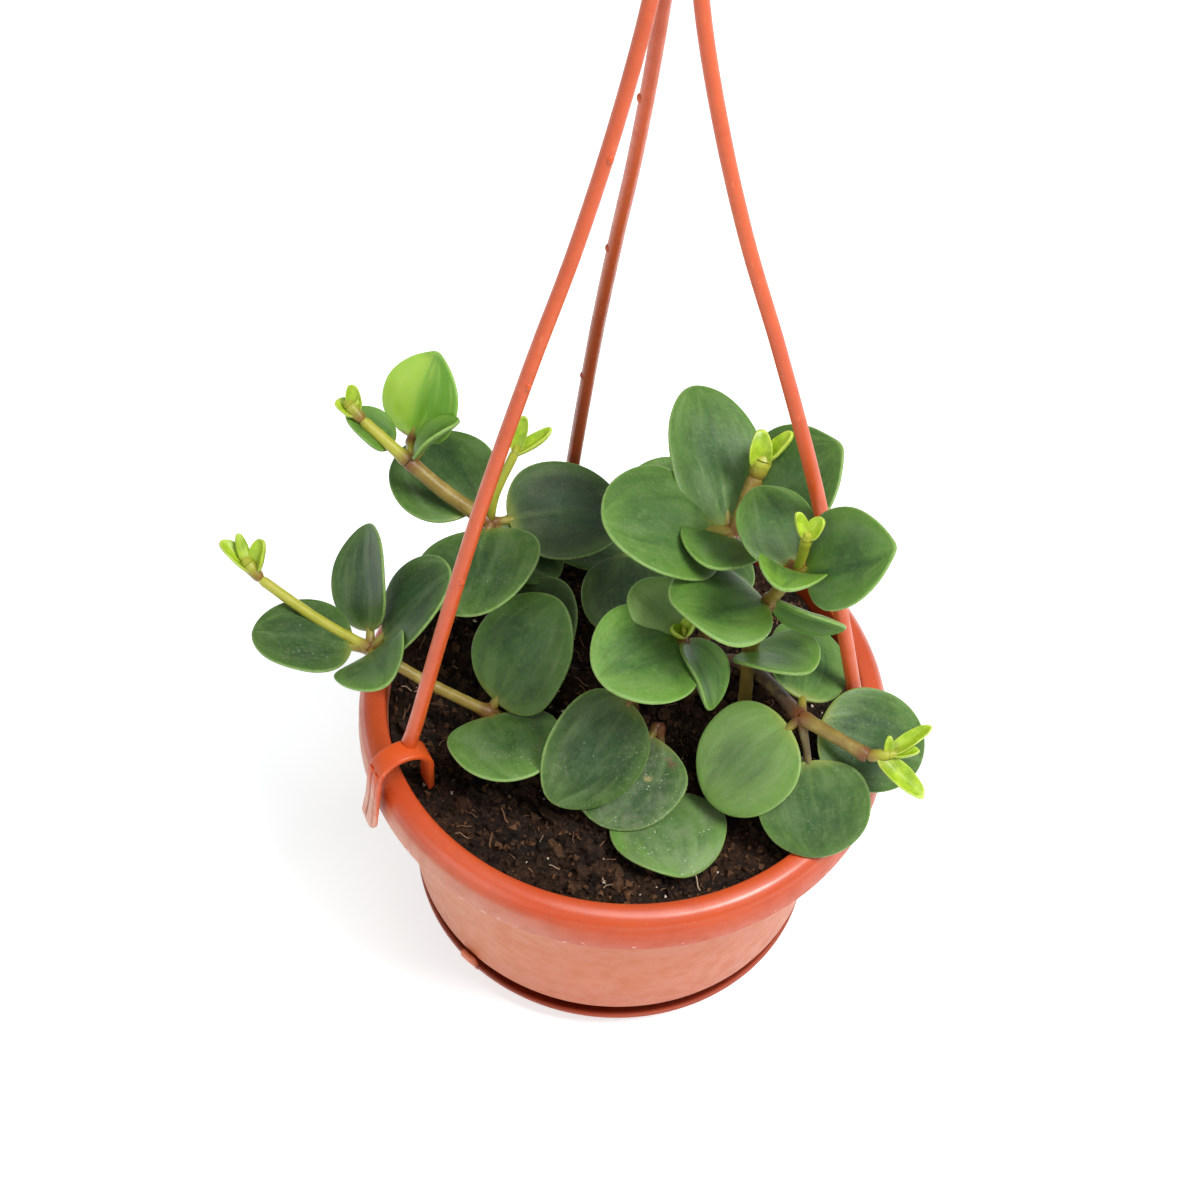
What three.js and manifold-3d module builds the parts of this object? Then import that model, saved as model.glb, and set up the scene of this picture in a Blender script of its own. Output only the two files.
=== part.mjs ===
// A hope peperomia in a hanging plastic pot that stands on its clipped-on saucer.
// Millimetres, +Z up. The origin is the middle of the saucer's underside.
import * as THREE from 'three';
import { mergeVertices } from 'three/addons/utils/BufferGeometryUtils.js';
import Module from 'manifold-3d';

const wasm = await Module();
wasm.setup();

// Driving dimensions of the pot, from its 125 mm rim
const RIM_RADIUS = 62.5;
const RIM_TOP = 75;
const SKIRT_HEIGHT = 10;
const LIP_RADIUS = 55.9;
const WALL_TOP_RADIUS = 57;
const WALL_FOOT_RADIUS = 49.7;
const WALL_FOOT = 13;
const WALL = 1.4;
const FOOT_RING_RADIUS = 40;
const DRAIN_RADIUS = 3;
const DRAIN_CIRCLE = 24;
const DRAIN_COUNT = 4;

// Saucer
const SAUCER_RADIUS = 49.4;
const SAUCER_FOOT = 43;
const SAUCER_HEIGHT = 7.8;
const SAUCER_WALL = 1.3;
const LUG_AZIMUTHS = [109, 229, 349];
const LUG_TOP = 14.5;
const LUG_WIDTH = 3.6;

// Soil
const SOIL_LEVEL = 69;
const SOIL_CROWN = 1.2;
const ROOT_DEPTH = 9;

// Hanger, one moulded piece
const HUB = new THREE.Vector3(-2.7, 1.2, 302);
const HUB_RADIUS = 6;
const HUB_HEIGHT = 10;
const HANGER_AZIMUTHS = [210, 110, 352];
const STRAND_TOP = { radial: 1.45, tangential: 1.45 };
const STRAND_FOOT = { radial: 2, tangential: 1.6 };
const STRAND_FOOT_RADIUS = 54.5;
const STRAND_SHIFT = -1.6;
// How far out a strand is, as a share of its foot's distance, at each height above its foot
const STRAND_REACH = [
  [1, 0], [0.96, 8], [0.84, 37], [0.665, 76], [0.47, 113], [0.31, 141], [0.178, 169], [0.084, 195],
];
const HOOK_RADIUS = 11;
const HOOK_ROD = 2.2;
const CLIP_WIDTH = 5.8;
const CLIP_THICKNESS = 1.4;
const CLIP_MIDDLE = 57.1;
const CLIP_ARCH = 7.1;
const CLIP_TOP = 87.4;
const CLIP_OUTER_END = 62.6;
const CLIP_INNER_END = 70.6;

// Plant
const STEM_RADIUS = 1.5;
const NODE_RADIUS = 2;
const TIP_KNOT = 1.6;
const STALK_RADIUS = 1.05;
const BLADE_THICKNESS = 1.7;
const BLADE_EDGE = 0.8;
const BLADE_SEGMENTS = 12;

// Gap that neighbouring pieces keep
const GAP = 0.35;
const ROUND = 40;
const DEG = Math.PI / 180;

const COLORS = {
  pot: 0xd76a43, saucer: 0xd2653f, hanger: 0xe67a4f, soil: 0x3a2a20,
  leaf: 0x4c7a45, youngLeaf: 0x86b84a, tip: 0xb4cf4f,
};

function point(x, y, z) {
  return new THREE.Vector3(x, y, z);
}

function polar(radius, azimuth, z) {
  return point(radius * Math.cos(azimuth * DEG), radius * Math.sin(azimuth * DEG), z);
}

// Closed geometry to solid, and back
function toSolid(geometry) {
  const bare = new THREE.BufferGeometry();
  bare.setAttribute('position', geometry.attributes.position.clone());
  bare.setIndex(geometry.index ? geometry.index.clone() : null);
  const merged = mergeVertices(bare, 1e-4);
  const corners = merged.index.array;
  const kept = [];
  for (let i = 0; i < corners.length; i += 3) {
    const [a, b, c] = [corners[i], corners[i + 1], corners[i + 2]];
    if (a !== b && b !== c && c !== a) kept.push(a, b, c);
  }
  return new wasm.Manifold(new wasm.Mesh({
    numProp: 3,
    vertProperties: new Float32Array(merged.attributes.position.array),
    triVerts: new Uint32Array(kept),
  }));
}

function toMesh(name, solid, color, roughness = 0.5) {
  const { numProp, vertProperties, triVerts } = solid.getMesh();
  const positions = new Float32Array(vertProperties.length / numProp * 3);
  for (let i = 0; i * numProp < vertProperties.length; i += 1) {
    for (let k = 0; k < 3; k += 1) positions[3 * i + k] = vertProperties[numProp * i + k];
  }
  const geometry = new THREE.BufferGeometry();
  geometry.setAttribute('position', new THREE.BufferAttribute(positions, 3));
  geometry.setIndex([...triVerts]);
  geometry.computeVertexNormals();
  const material = new THREE.MeshStandardMaterial({ color, roughness, metalness: 0 });
  const mesh = new THREE.Mesh(geometry, material);
  mesh.name = name;
  return mesh;
}

function fuse(solids) {
  return solids.reduce((whole, part) => whole.add(part));
}

// Profile of [radius, height] pairs turned about +Z
function revolve(profile) {
  const outline = profile.map(([radius, height]) => new THREE.Vector2(radius, height));
  return toSolid(new THREE.LatheGeometry(outline, ROUND).rotateX(Math.PI / 2));
}

function uprightCylinder(x, y, bottom, top, radius, sides) {
  const geometry = new THREE.CylinderGeometry(radius, radius, top - bottom, sides);
  return toSolid(geometry.rotateX(Math.PI / 2).translate(x, y, (top + bottom) / 2));
}

// A closed cylinder bent along a curve, with its half-widths given along the way.
// The first half-width lies in the curve's own plane, as near as "side" lets it.
function bentTube(curve, widths, { steps = 8, sides = 8, side = point(0, 0, 1) } = {}) {
  const geometry = new THREE.CylinderGeometry(1, 1, 1, sides, steps);
  const positions = geometry.attributes.position;
  for (let i = 0; i < positions.count; i += 1) {
    const t = THREE.MathUtils.clamp(positions.getY(i) + 0.5, 0, 1);
    const along = curve.getTangentAt(t);
    const across = new THREE.Vector3().crossVectors(side, along).normalize();
    const inPlane = new THREE.Vector3().crossVectors(along, across);
    const [a, b] = widths(t);
    const place = curve.getPointAt(t)
      .addScaledVector(inPlane, -positions.getX(i) * a)
      .addScaledVector(across, -positions.getZ(i) * b);
    positions.setXYZ(i, place.x, place.y, place.z);
  }
  return toSolid(geometry);
}

// Pot with a rolled rim, a skirt, a foot ring and drain holes
function potSolid() {
  const skirtEnd = RIM_TOP - SKIRT_HEIGHT;
  const floorTop = WALL_FOOT + 0.6;
  const floorUnder = floorTop - WALL;
  const footEnd = SAUCER_WALL + GAP;
  const shell = revolve([
    [0, floorUnder], [FOOT_RING_RADIUS - WALL, floorUnder], [FOOT_RING_RADIUS - WALL, footEnd],
    [FOOT_RING_RADIUS, footEnd], [FOOT_RING_RADIUS + 0.4, floorUnder],
    [WALL_FOOT_RADIUS - 1.2, floorUnder], [WALL_FOOT_RADIUS, WALL_FOOT + 0.5],
    [WALL_TOP_RADIUS, skirtEnd + 4], [RIM_RADIUS - 1.7, skirtEnd + 4.6], [RIM_RADIUS - 1.2, skirtEnd],
    [RIM_RADIUS, skirtEnd], [RIM_RADIUS - 0.5, RIM_TOP - 3.6], [RIM_RADIUS - 1.3, RIM_TOP - 1.6],
    [RIM_RADIUS - 2.8, RIM_TOP - 0.4], [RIM_RADIUS - 4.6, RIM_TOP], [LIP_RADIUS + 0.5, RIM_TOP - 0.1],
    [LIP_RADIUS, RIM_TOP - 0.7], [WALL_TOP_RADIUS - WALL, skirtEnd + 3],
    [WALL_FOOT_RADIUS - WALL, floorTop], [0, floorTop],
  ]);
  let pot = shell;
  for (let i = 0; i < DRAIN_COUNT; i += 1) {
    const centre = polar(DRAIN_CIRCLE, 360 / DRAIN_COUNT * i + 45, 0);
    pot = pot.subtract(uprightCylinder(centre.x, centre.y, 0, floorTop + 5, DRAIN_RADIUS, 16));
  }
  return pot;
}

// A small snap lug that stands on the saucer's rim and grips the pot's wall
function lug(azimuth) {
  const inner = WALL_FOOT_RADIUS + GAP;
  const shape = new THREE.Shape();
  shape.moveTo(SAUCER_RADIUS - SAUCER_WALL, SAUCER_HEIGHT - 2);
  shape.lineTo(SAUCER_RADIUS - 0.3, SAUCER_HEIGHT - 2);
  shape.lineTo(inner + 1.5, LUG_TOP - 2.5);
  shape.quadraticCurveTo(inner + 1.6, LUG_TOP, inner + 0.7, LUG_TOP);
  shape.lineTo(inner, LUG_TOP - 1.2);
  shape.lineTo(inner - 0.4, WALL_FOOT - 1.2);
  shape.closePath();
  const block = new THREE.ExtrudeGeometry(shape, {
    depth: LUG_WIDTH, bevelEnabled: false, curveSegments: 4,
  });
  block.translate(0, 0, -LUG_WIDTH / 2).rotateX(Math.PI / 2).rotateZ(azimuth * DEG);
  return toSolid(block);
}

function saucerSolid() {
  const dish = revolve([
    [0, 0], [SAUCER_FOOT, 0], [SAUCER_FOOT + 1.2, 0.6], [SAUCER_RADIUS, SAUCER_HEIGHT - 0.6],
    [SAUCER_RADIUS - 0.3, SAUCER_HEIGHT], [SAUCER_RADIUS - SAUCER_WALL + 0.2, SAUCER_HEIGHT],
    [SAUCER_FOOT + 0.6, SAUCER_WALL + 0.8], [SAUCER_FOOT - 0.6, SAUCER_WALL], [0, SAUCER_WALL],
  ]);
  return fuse([dish, ...LUG_AZIMUTHS.map(lug)]);
}

// Soil fills the pot to just under the lip, with a plain hole for each stem
function soilSolid(roots) {
  const floor = WALL_FOOT + 0.6 + GAP;
  const wallAt = (z) => THREE.MathUtils.mapLinear(
    z, WALL_FOOT + 0.6, RIM_TOP - SKIRT_HEIGHT + 3, WALL_FOOT_RADIUS - WALL, WALL_TOP_RADIUS - WALL);
  const body = revolve([
    [0, floor], [wallAt(floor) - GAP, floor], [wallAt(SOIL_LEVEL - 2.5) - GAP, SOIL_LEVEL - 2.5],
    [wallAt(SOIL_LEVEL - 2.5) - 2, SOIL_LEVEL - 0.8], [44, SOIL_LEVEL],
    [22, SOIL_LEVEL + 0.8 * SOIL_CROWN], [0, SOIL_LEVEL + SOIL_CROWN],
  ]);
  return roots.reduce((soil, root) => soil.subtract(uprightCylinder(
    root.x, root.y, SOIL_LEVEL - ROOT_DEPTH - GAP, SOIL_LEVEL + 5, STEM_RADIUS + 1.6 * GAP, 10)), body);
}

// One strand, nearly upright at both ends and leaning outward between them
function strandCurve(azimuth) {
  const foot = polar(STRAND_FOOT_RADIUS, azimuth + STRAND_SHIFT, CLIP_TOP - 1.2);
  const points = STRAND_REACH.map(([reach, rise]) => point(
    THREE.MathUtils.lerp(HUB.x, foot.x, reach),
    THREE.MathUtils.lerp(HUB.y, foot.y, reach),
    foot.z + rise));
  points.push(point(
    THREE.MathUtils.lerp(HUB.x, foot.x, 0.05), THREE.MathUtils.lerp(HUB.y, foot.y, 0.05), HUB.z));
  return new THREE.CatmullRomCurve3(points);
}

function strand(azimuth) {
  const tangential = polar(1, azimuth + 90, 0);
  const widths = (t) => [
    THREE.MathUtils.lerp(STRAND_FOOT.radial, STRAND_TOP.radial, t),
    THREE.MathUtils.lerp(STRAND_FOOT.tangential, STRAND_TOP.tangential, t),
  ];
  const curve = strandCurve(azimuth);
  // The first half-width is measured square to the tangential direction
  const rod = bentTube(curve, widths, { steps: 14, sides: 8, side: tangential });
  return fuse([rod, ...strandNubs(curve, azimuth)]);
}

// Small moulding nubs on the side of a strand, about 45 mm apart
function strandNubs(curve, azimuth) {
  const side = polar(1, azimuth + 90, 0);
  return [0.25, 0.5, 0.75].map((t) => {
    const place = curve.getPointAt(t).addScaledVector(side, STRAND_TOP.tangential - 0.3);
    return toSolid(new THREE.SphereGeometry(0.9, 6, 3).translate(place.x, place.y, place.z));
  });
}

// Clip in the shape of a U upside down, over the rim, with two ribs on its outer leg
function clip(azimuth) {
  const springing = CLIP_TOP - CLIP_ARCH;
  const outer = CLIP_MIDDLE + CLIP_ARCH;
  const inner = CLIP_MIDDLE - CLIP_ARCH;
  const t = CLIP_THICKNESS;
  const shape = new THREE.Shape();
  shape.moveTo(outer - t, CLIP_OUTER_END + 0.5);
  shape.lineTo(outer - t / 2, CLIP_OUTER_END);
  shape.lineTo(outer, CLIP_OUTER_END + 0.5);
  shape.lineTo(outer, springing);
  shape.absarc(CLIP_MIDDLE, springing, CLIP_ARCH, 0, Math.PI, false);
  shape.lineTo(inner, CLIP_INNER_END + 0.9);
  shape.lineTo(inner + t, CLIP_INNER_END);
  shape.lineTo(inner + t, springing);
  shape.absarc(CLIP_MIDDLE, springing, CLIP_ARCH - t, Math.PI, 0, true);
  shape.closePath();
  const band = new THREE.ExtrudeGeometry(shape, {
    depth: CLIP_WIDTH, bevelEnabled: false, curveSegments: 8,
  });
  band.translate(0, 0, -CLIP_WIDTH / 2).rotateX(Math.PI / 2).rotateZ(azimuth * DEG);
  const ribs = [-1, 1].map((side) => {
    const length = springing - 2 - CLIP_OUTER_END;
    const rib = new THREE.BoxGeometry(1.1, 2, length);
    rib.translate(outer, side * (CLIP_WIDTH / 2 - 1.3), CLIP_OUTER_END + 1.5 + length / 2);
    return toSolid(rib.rotateZ(azimuth * DEG));
  });
  return fuse([toSolid(band), ...ribs]);
}

// Hook that stands on the hub
function hook() {
  const base = HUB.z + HUB_HEIGHT;
  const centre = base + 16;
  const points = [point(HUB.x, HUB.y, base - 3), point(HUB.x, HUB.y, base + 1)];
  for (const angle of [-70, -30, 10, 50, 90, 130, 170, 200]) {
    points.push(point(
      HUB.x + HOOK_RADIUS * Math.cos(angle * DEG), HUB.y, centre + HOOK_RADIUS * Math.sin(angle * DEG)));
  }
  const curve = new THREE.CatmullRomCurve3(points);
  return bentTube(curve, () => [HOOK_ROD, HOOK_ROD], { steps: 16, sides: 8, side: point(0, 1, 0) });
}

function hangerSolid() {
  const hub = uprightCylinder(HUB.x, HUB.y, HUB.z - 3, HUB.z + HUB_HEIGHT, HUB_RADIUS, 20);
  return fuse([hub, hook(), ...HANGER_AZIMUTHS.map(strand), ...HANGER_AZIMUTHS.map(clip)]);
}

// Directions of a leaf: along it, across it, and out of its upper face
function leafFrame({ heading, rise, roll = 0 }) {
  const along = point(
    Math.cos(heading * DEG) * Math.cos(rise * DEG),
    Math.sin(heading * DEG) * Math.cos(rise * DEG),
    Math.sin(rise * DEG));
  const level = polar(1, heading + 90, 0);
  const over = new THREE.Vector3().crossVectors(along, level);
  const across = level.clone().multiplyScalar(Math.cos(roll * DEG))
    .addScaledVector(over, Math.sin(roll * DEG));
  const up = new THREE.Vector3().crossVectors(along, across);
  return { along, across, up };
}

// A leaf: a round disc drawn out to an egg shape, bowed, cupped or waved, on a short stalk.
// "arch" bows it along its length, "cup" across it, "point" sharpens its tip.
function leaf(node, options) {
  const {
    length, width, stalk = 4, arch = 0.8, cup = 1.2, point: sharpness = 0.12, wave = 0,
    thickness = BLADE_THICKNESS, edge = BLADE_EDGE, stalkRadius = STALK_RADIUS, segments = BLADE_SEGMENTS,
  } = options;
  const { along, across, up } = leafFrame(options);
  const start = node.clone().addScaledVector(along, stalk);
  const half = thickness / 2;
  const profile = [[0, -half], [1, -edge / 2], [1, edge / 2], [0, half]];
  const disc = new THREE.LatheGeometry(profile.map(([r, h]) => new THREE.Vector2(r, h)), segments);
  const positions = disc.attributes.position;
  for (let i = 0; i < positions.count; i += 1) {
    const [tipward, offset, sideways] = [positions.getX(i), positions.getY(i), -positions.getZ(i)];
    const sharpen = 1 - sharpness * Math.max(0, tipward) ** 3;
    const x = length / 2 * (1 + tipward);
    const y = width / 2 * sideways * (1 - 0.12 * tipward) * sharpen;
    const rim = Math.hypot(tipward, sideways);
    const turn = Math.atan2(sideways, tipward);
    const z = arch * (1 - tipward ** 2) + cup * sideways ** 2
      + wave * rim ** 3 * Math.sin(3 * turn) + offset;
    const place = start.clone()
      .addScaledVector(along, x).addScaledVector(across, y).addScaledVector(up, z);
    positions.setXYZ(i, place.x, place.y, place.z);
  }
  const blade = toSolid(disc);
  const footing = start.clone().addScaledVector(along, 0.22 * length).addScaledVector(up, 0.6 * arch);
  const curve = new THREE.CatmullRomCurve3([node, start, footing]);
  const thin = 0.4 * stalkRadius;
  const widths = (t) => [
    THREE.MathUtils.lerp(stalkRadius, thin, t),
    THREE.MathUtils.lerp(stalkRadius, 0.9 * stalkRadius, t),
  ];
  return fuse([blade, bentTube(curve, widths, { steps: 2, sides: 5, side: across })]);
}

function stem(points, { from = STEM_RADIUS, to = STEM_RADIUS } = {}) {
  const curve = new THREE.CatmullRomCurve3(points);
  const widths = (t) => [THREE.MathUtils.lerp(from, to, t), THREE.MathUtils.lerp(from, to, t)];
  const first = points[0];
  const last = points[points.length - 1];
  const chord = last.clone().sub(first);
  const side = Math.abs(chord.z) > Math.hypot(chord.x, chord.y) ? point(1, 0, 0) : point(0, 0, 1);
  return bentTube(curve, widths, { steps: 2 * points.length - 2, sides: 7, side });
}

function knot(place, radius = NODE_RADIUS) {
  return toSolid(new THREE.SphereGeometry(radius, 7, 4).translate(place.x, place.y, place.z));
}

// The lowest points of a stem: it stands upright in its hole in the soil
function rooted(x, y) {
  return [-ROOT_DEPTH, -0.2 * ROOT_DEPTH, 3].map((rise) => point(x, y, SOIL_LEVEL + rise));
}

// Growing tip: a neck that starts just off the knot at a stem's end, with small leaflets on its crown
function growingTip(name, { from, way, radius = 1.1, leaflets }) {
  const outward = way[0].clone().sub(from).normalize();
  const start = from.clone().addScaledVector(outward, TIP_KNOT + GAP);
  const crown = way[way.length - 1];
  const parts = [stem([start, ...way], { from: radius, to: 1.2 * radius }), knot(crown, 1.45 * radius)];
  for (const [heading, rise, length, width, roll = 0] of leaflets) {
    parts.push(leaf(crown, {
      heading, rise, roll, length, width, stalk: 0.4, arch: -0.5, cup: 0.5, point: 0.2,
      thickness: 1.4, edge: 0.7, stalkRadius: 0.7 * radius, segments: 7,
    }));
  }
  return toMesh(name, fuse(parts), COLORS.tip, 0.45);
}

// Shoot that leans out over the left of the rim
const LEFT_ROOT = rooted(-27, -8);
const LEFT_END = point(-85, 7.5, 99);
function leftShoot() {
  const low = point(-31, -11.5, 80);
  const fork = point(-59, -4, 91);
  const leaves = [
    leaf(low, { heading: 48, rise: 48, length: 29, width: 25.5, stalk: 3 }),
    leaf(low, { heading: 60, rise: 33.5, roll: -5, length: 26, width: 22, stalk: 8.5 }),
    leaf(low, { heading: -68, rise: 18, length: 24.2, width: 25.6, stalk: 1.5 }),
    leaf(fork, { heading: 96, rise: 32, roll: -55, length: 25, width: 21.5, point: 0.4, cup: 2.5 }),
    leaf(fork, { heading: 179, rise: 5, roll: 6, length: 23, width: 21.5 }),
    leaf(fork, { heading: -72, rise: 32, roll: 26, length: 20, width: 18.5, stalk: 2.5, cup: 3 }),
    leaf(fork, { heading: 20, rise: 50, roll: -9, length: 25, width: 22, stalk: 5 }),
  ];
  return fuse([
    stem([...LEFT_ROOT, low]), knot(low), stem([low, point(-45, -7.5, 84), fork], { to: 1.4 }), knot(fork),
    stem([fork, point(-72, 1.5, 94), LEFT_END], { from: 1.4, to: 1.2 }), knot(LEFT_END, TIP_KNOT), ...leaves,
  ]);
}

// Shoot behind it, with the bright young leaf at its end
const REAR_LEFT_ROOT = rooted(-27, 17);
const REAR_LEFT_FORK = point(-34, 23.5, 106);
const REAR_LEFT_HIGH = point(-53.5, 31.5, 116);
const REAR_LEFT_END = point(-64.5, 37.5, 122);
function rearLeftShoot() {
  const fork = REAR_LEFT_FORK;
  const high = REAR_LEFT_HIGH;
  const leaves = [
    leaf(fork, { heading: 22, rise: -10, roll: 13, length: 28.5, width: 25.5, stalk: 4.5 }),
    leaf(fork, { heading: -99, rise: 0, roll: 20, length: 25.5, width: 26.5, stalk: 2 }),
    leaf(fork, { heading: -16, rise: -23, roll: 8, length: 18, width: 17, stalk: 1.5 }),
    leaf(fork, { heading: 134, rise: -2, roll: -9, length: 26, width: 25, stalk: 5 }),
    leaf(high, { heading: 22, rise: 40, roll: -28, length: 14.5, width: 9.5, stalk: 1.5, cup: 1.5 }),
    leaf(high, { heading: 168, rise: 40, roll: 16, length: 13.5, width: 10.5, stalk: 5.5 }),
  ];
  return fuse([
    stem([...REAR_LEFT_ROOT, point(-30, 19, 88), fork]), knot(fork, NODE_RADIUS),
    stem([fork, point(-44, 27.5, 110), high], { from: 1.9, to: 1.7 }), knot(high, NODE_RADIUS),
    stem([high, REAR_LEFT_END], { from: 1.6, to: 1.2 }), knot(REAR_LEFT_END, TIP_KNOT), ...leaves,
  ]);
}

// Rosette in the middle, with its growing bud
const CENTRE_ROOT = rooted(2, -3);
const CENTRE_CROWN = point(11.5, -11.7, 114);
function centreShoot() {
  const low = point(1.5, -13, 93);
  const crown = CENTRE_CROWN;
  const leaves = [
    leaf(low, { heading: -127, rise: -24.5, roll: -54, length: 28.8, width: 26.8, stalk: 1.3 }),
    leaf(low, { heading: 96, rise: -4, length: 25, width: 21, stalk: 17 }),
    leaf(crown, { heading: -137, rise: 16, roll: -15, length: 25, width: 24.5, stalk: 1 }),
    leaf(crown, { heading: 147, rise: 30, roll: -9, length: 15.5, width: 15, stalk: 1 }),
    leaf(crown, { heading: -57, rise: -36, roll: -40, length: 16.5, width: 16, stalk: 0, cup: 3 }),
  ];
  return fuse([
    stem([...CENTRE_ROOT, point(1.5, -8, 82), low]), knot(low),
    stem([low, point(7, -12.5, 103), crown], { to: 1.3 }), knot(crown, TIP_KNOT), ...leaves,
  ]);
}

// Upright shoot at the back, on the right
const REAR_RIGHT_ROOT = rooted(17, 14);
const REAR_RIGHT_END = point(24.2, 13.6, 141);
function rearRightShoot() {
  const fork = point(20, 6, 130);
  const leaves = [
    leaf(fork, { heading: 201, rise: 27, roll: -11, length: 26, width: 28, stalk: 8 }),
    leaf(fork, { heading: 108, rise: 24, roll: 16, length: 30, width: 22.5, stalk: 4.5 }),
    leaf(fork, { heading: 18, rise: 47, roll: 4, length: 25, width: 27.5, stalk: 7, point: 0.25 }),
    leaf(fork, { heading: -104, rise: 30, length: 19, width: 19, stalk: 2.5, cup: 1.8 }),
  ];
  return fuse([
    stem([...REAR_RIGHT_ROOT, point(18.5, 11, 100), fork]), knot(fork, 2.2),
    stem([fork, REAR_RIGHT_END], { to: 1.3 }), knot(REAR_RIGHT_END, TIP_KNOT), ...leaves,
  ]);
}

// Tallest shoot, on the right
const TALL_ROOT = rooted(28, -1);
const TALL_CROWN = point(32.4, -16.2, 147);
function tallShoot() {
  const low = point(26.8, -5.8, 103.7);
  const fork = point(28.5, -11.5, 130);
  const crown = TALL_CROWN;
  const leaves = [
    leaf(low, { heading: -38, rise: 26, roll: -14, length: 19.3, width: 19, stalk: -0.8, cup: 2.2 }),
    leaf(fork, { heading: 200, rise: 16, roll: 8, length: 22, width: 25, stalk: 1, wave: 0.9, cup: -0.9 }),
    leaf(fork, { heading: -14, rise: -6, roll: 108, length: 17, width: 13, stalk: 0.5, point: 0.4 }),
    leaf(crown, { heading: 115, rise: 10, roll: -9, length: 18.8, width: 16.2, stalk: 2, cup: 1.8 }),
    leaf(crown, {
      heading: -21, rise: 45, roll: 37, length: 24, width: 21, stalk: 3.1, point: 0.35, stalkRadius: 0.8,
    }),
    leaf(crown, { heading: -106, rise: 38, length: 16, width: 14.5, stalk: 1, cup: 2.5 }),
  ];
  return fuse([
    stem([...TALL_ROOT, point(27, -4.5, 96), fork]), knot(low, 1.8), knot(fork, 2),
    stem([fork, crown], { to: 1.3 }), knot(crown, TIP_KNOT), ...leaves,
  ]);
}

// Low shoot that leans out over the right of the rim
const LOW_ROOT = rooted(15, 4);
const LOW_END = point(53.8, -27.8, 98);
function lowShoot() {
  const fork = point(39, -18.8, 98);
  const leaves = [
    leaf(fork, { heading: -153, rise: -44, roll: -11, length: 26.5, width: 25.5, stalk: 3.5 }),
    leaf(fork, { heading: -71, rise: -44, roll: 18, length: 22.5, width: 25, stalk: 10 }),
    leaf(fork, { heading: 0, rise: -25, roll: 34, length: 27, width: 23, stalk: 5 }),
    leaf(fork, { heading: 87, rise: -4, roll: 20, length: 22.5, width: 19.5, stalk: 5 }),
  ];
  return fuse([
    stem([...LOW_ROOT, point(19, 6, 80), point(27.5, 1.5, 88), fork]), knot(fork, 2.1),
    stem([fork, point(47, -24, 98.5), LOW_END], { from: 1.5, to: 1.4 }), knot(LOW_END, TIP_KNOT), ...leaves,
  ]);
}

// Short front shoot whose two old leaves lie on the soil
const FRONT_ROOT = rooted(9, -17);
function frontShoot() {
  const low = point(9, -17, 71.6);
  const high = point(7.8, -11.5, 80);
  const leaves = [
    leaf(low, {
      heading: -81, rise: 1.5, roll: -3, length: 24, width: 26.7, stalk: 6.5, wave: -1.2, cup: -0.5,
    }),
    leaf(high, { heading: -116, rise: -14.5, roll: -4, length: 24.5, width: 27, stalk: 3 }),
  ];
  return fuse([stem([...FRONT_ROOT, high], { to: 1.2 }), ...leaves]);
}

// Low leaves behind, that fill the back of the pot
const BACK_ROOT = rooted(3, 33);
function backShoot() {
  const low = point(3, 35, 84);
  const leaves = [
    leaf(low, { heading: 75, rise: 12, length: 24, width: 22, stalk: 3 }),
    leaf(low, { heading: 170, rise: 2, length: 22, width: 21, stalk: 4 }),
    leaf(low, { heading: -20, rise: 4, length: 23, width: 21, stalk: 4 }),
  ];
  return fuse([stem([...BACK_ROOT, low], { to: 1.3 }), knot(low), ...leaves]);
}

const group = new THREE.Group();
group.add(toMesh('pot', potSolid(), COLORS.pot, 0.4));
group.add(toMesh('saucer', saucerSolid(), COLORS.saucer, 0.4));
group.add(toMesh('hanger', hangerSolid(), COLORS.hanger, 0.4));

const roots = [
  LEFT_ROOT, REAR_LEFT_ROOT, CENTRE_ROOT, REAR_RIGHT_ROOT, TALL_ROOT, LOW_ROOT, FRONT_ROOT, BACK_ROOT,
];
group.add(toMesh('soil', soilSolid(roots.map(([bottom]) => bottom)), COLORS.soil, 0.95));

group.add(toMesh('shoot_left', leftShoot(), COLORS.leaf));
group.add(toMesh('shoot_rear_left', rearLeftShoot(), COLORS.leaf));
group.add(toMesh('shoot_centre', centreShoot(), COLORS.leaf));
group.add(toMesh('shoot_rear_right', rearRightShoot(), COLORS.leaf));
group.add(toMesh('shoot_tall', tallShoot(), COLORS.leaf));
group.add(toMesh('shoot_low', lowShoot(), COLORS.leaf));
group.add(toMesh('shoot_front', frontShoot(), COLORS.leaf));
group.add(toMesh('shoot_back', backShoot(), COLORS.leaf));

// Leaflets are given as [heading, rise, length, width]
group.add(growingTip('tip_left', {
  from: LEFT_END, way: [point(-90, 11, 101)],
  leaflets: [[150, 25, 7.5, 5], [80, 55, 8, 4.5], [50, 35, 6.5, 3.5]],
}));
group.add(growingTip('tip_rear_left', {
  from: REAR_LEFT_END, way: [point(-68, 40, 124.5)],
  leaflets: [[175, 5, 5.5, 4.5], [80, 50, 6.5, 4.2], [-20, 35, 4, 3.5]],
}));
group.add(growingTip('tip_rear_left_inner', {
  from: REAR_LEFT_FORK, way: [point(-32, 25.5, 114), point(-29, 30, 124)],
  leaflets: [[85, 60, 9, 4], [25, 30, 8.5, 4]],
}));
group.add(growingTip('tip_centre', {
  from: CENTRE_CROWN, way: [point(11.3, -11.6, 117)], radius: 0.9,
  leaflets: [[50, 60, 4.6, 3.4], [190, 45, 4, 3]],
}));
group.add(growingTip('tip_rear_right', {
  from: REAR_RIGHT_END, way: [point(25, 15, 144.5)], radius: 1.3,
  leaflets: [[95, 60, 7.5, 5], [70, 65, 5.5, 2.5], [50, 45, 9, 4]],
}));
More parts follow.
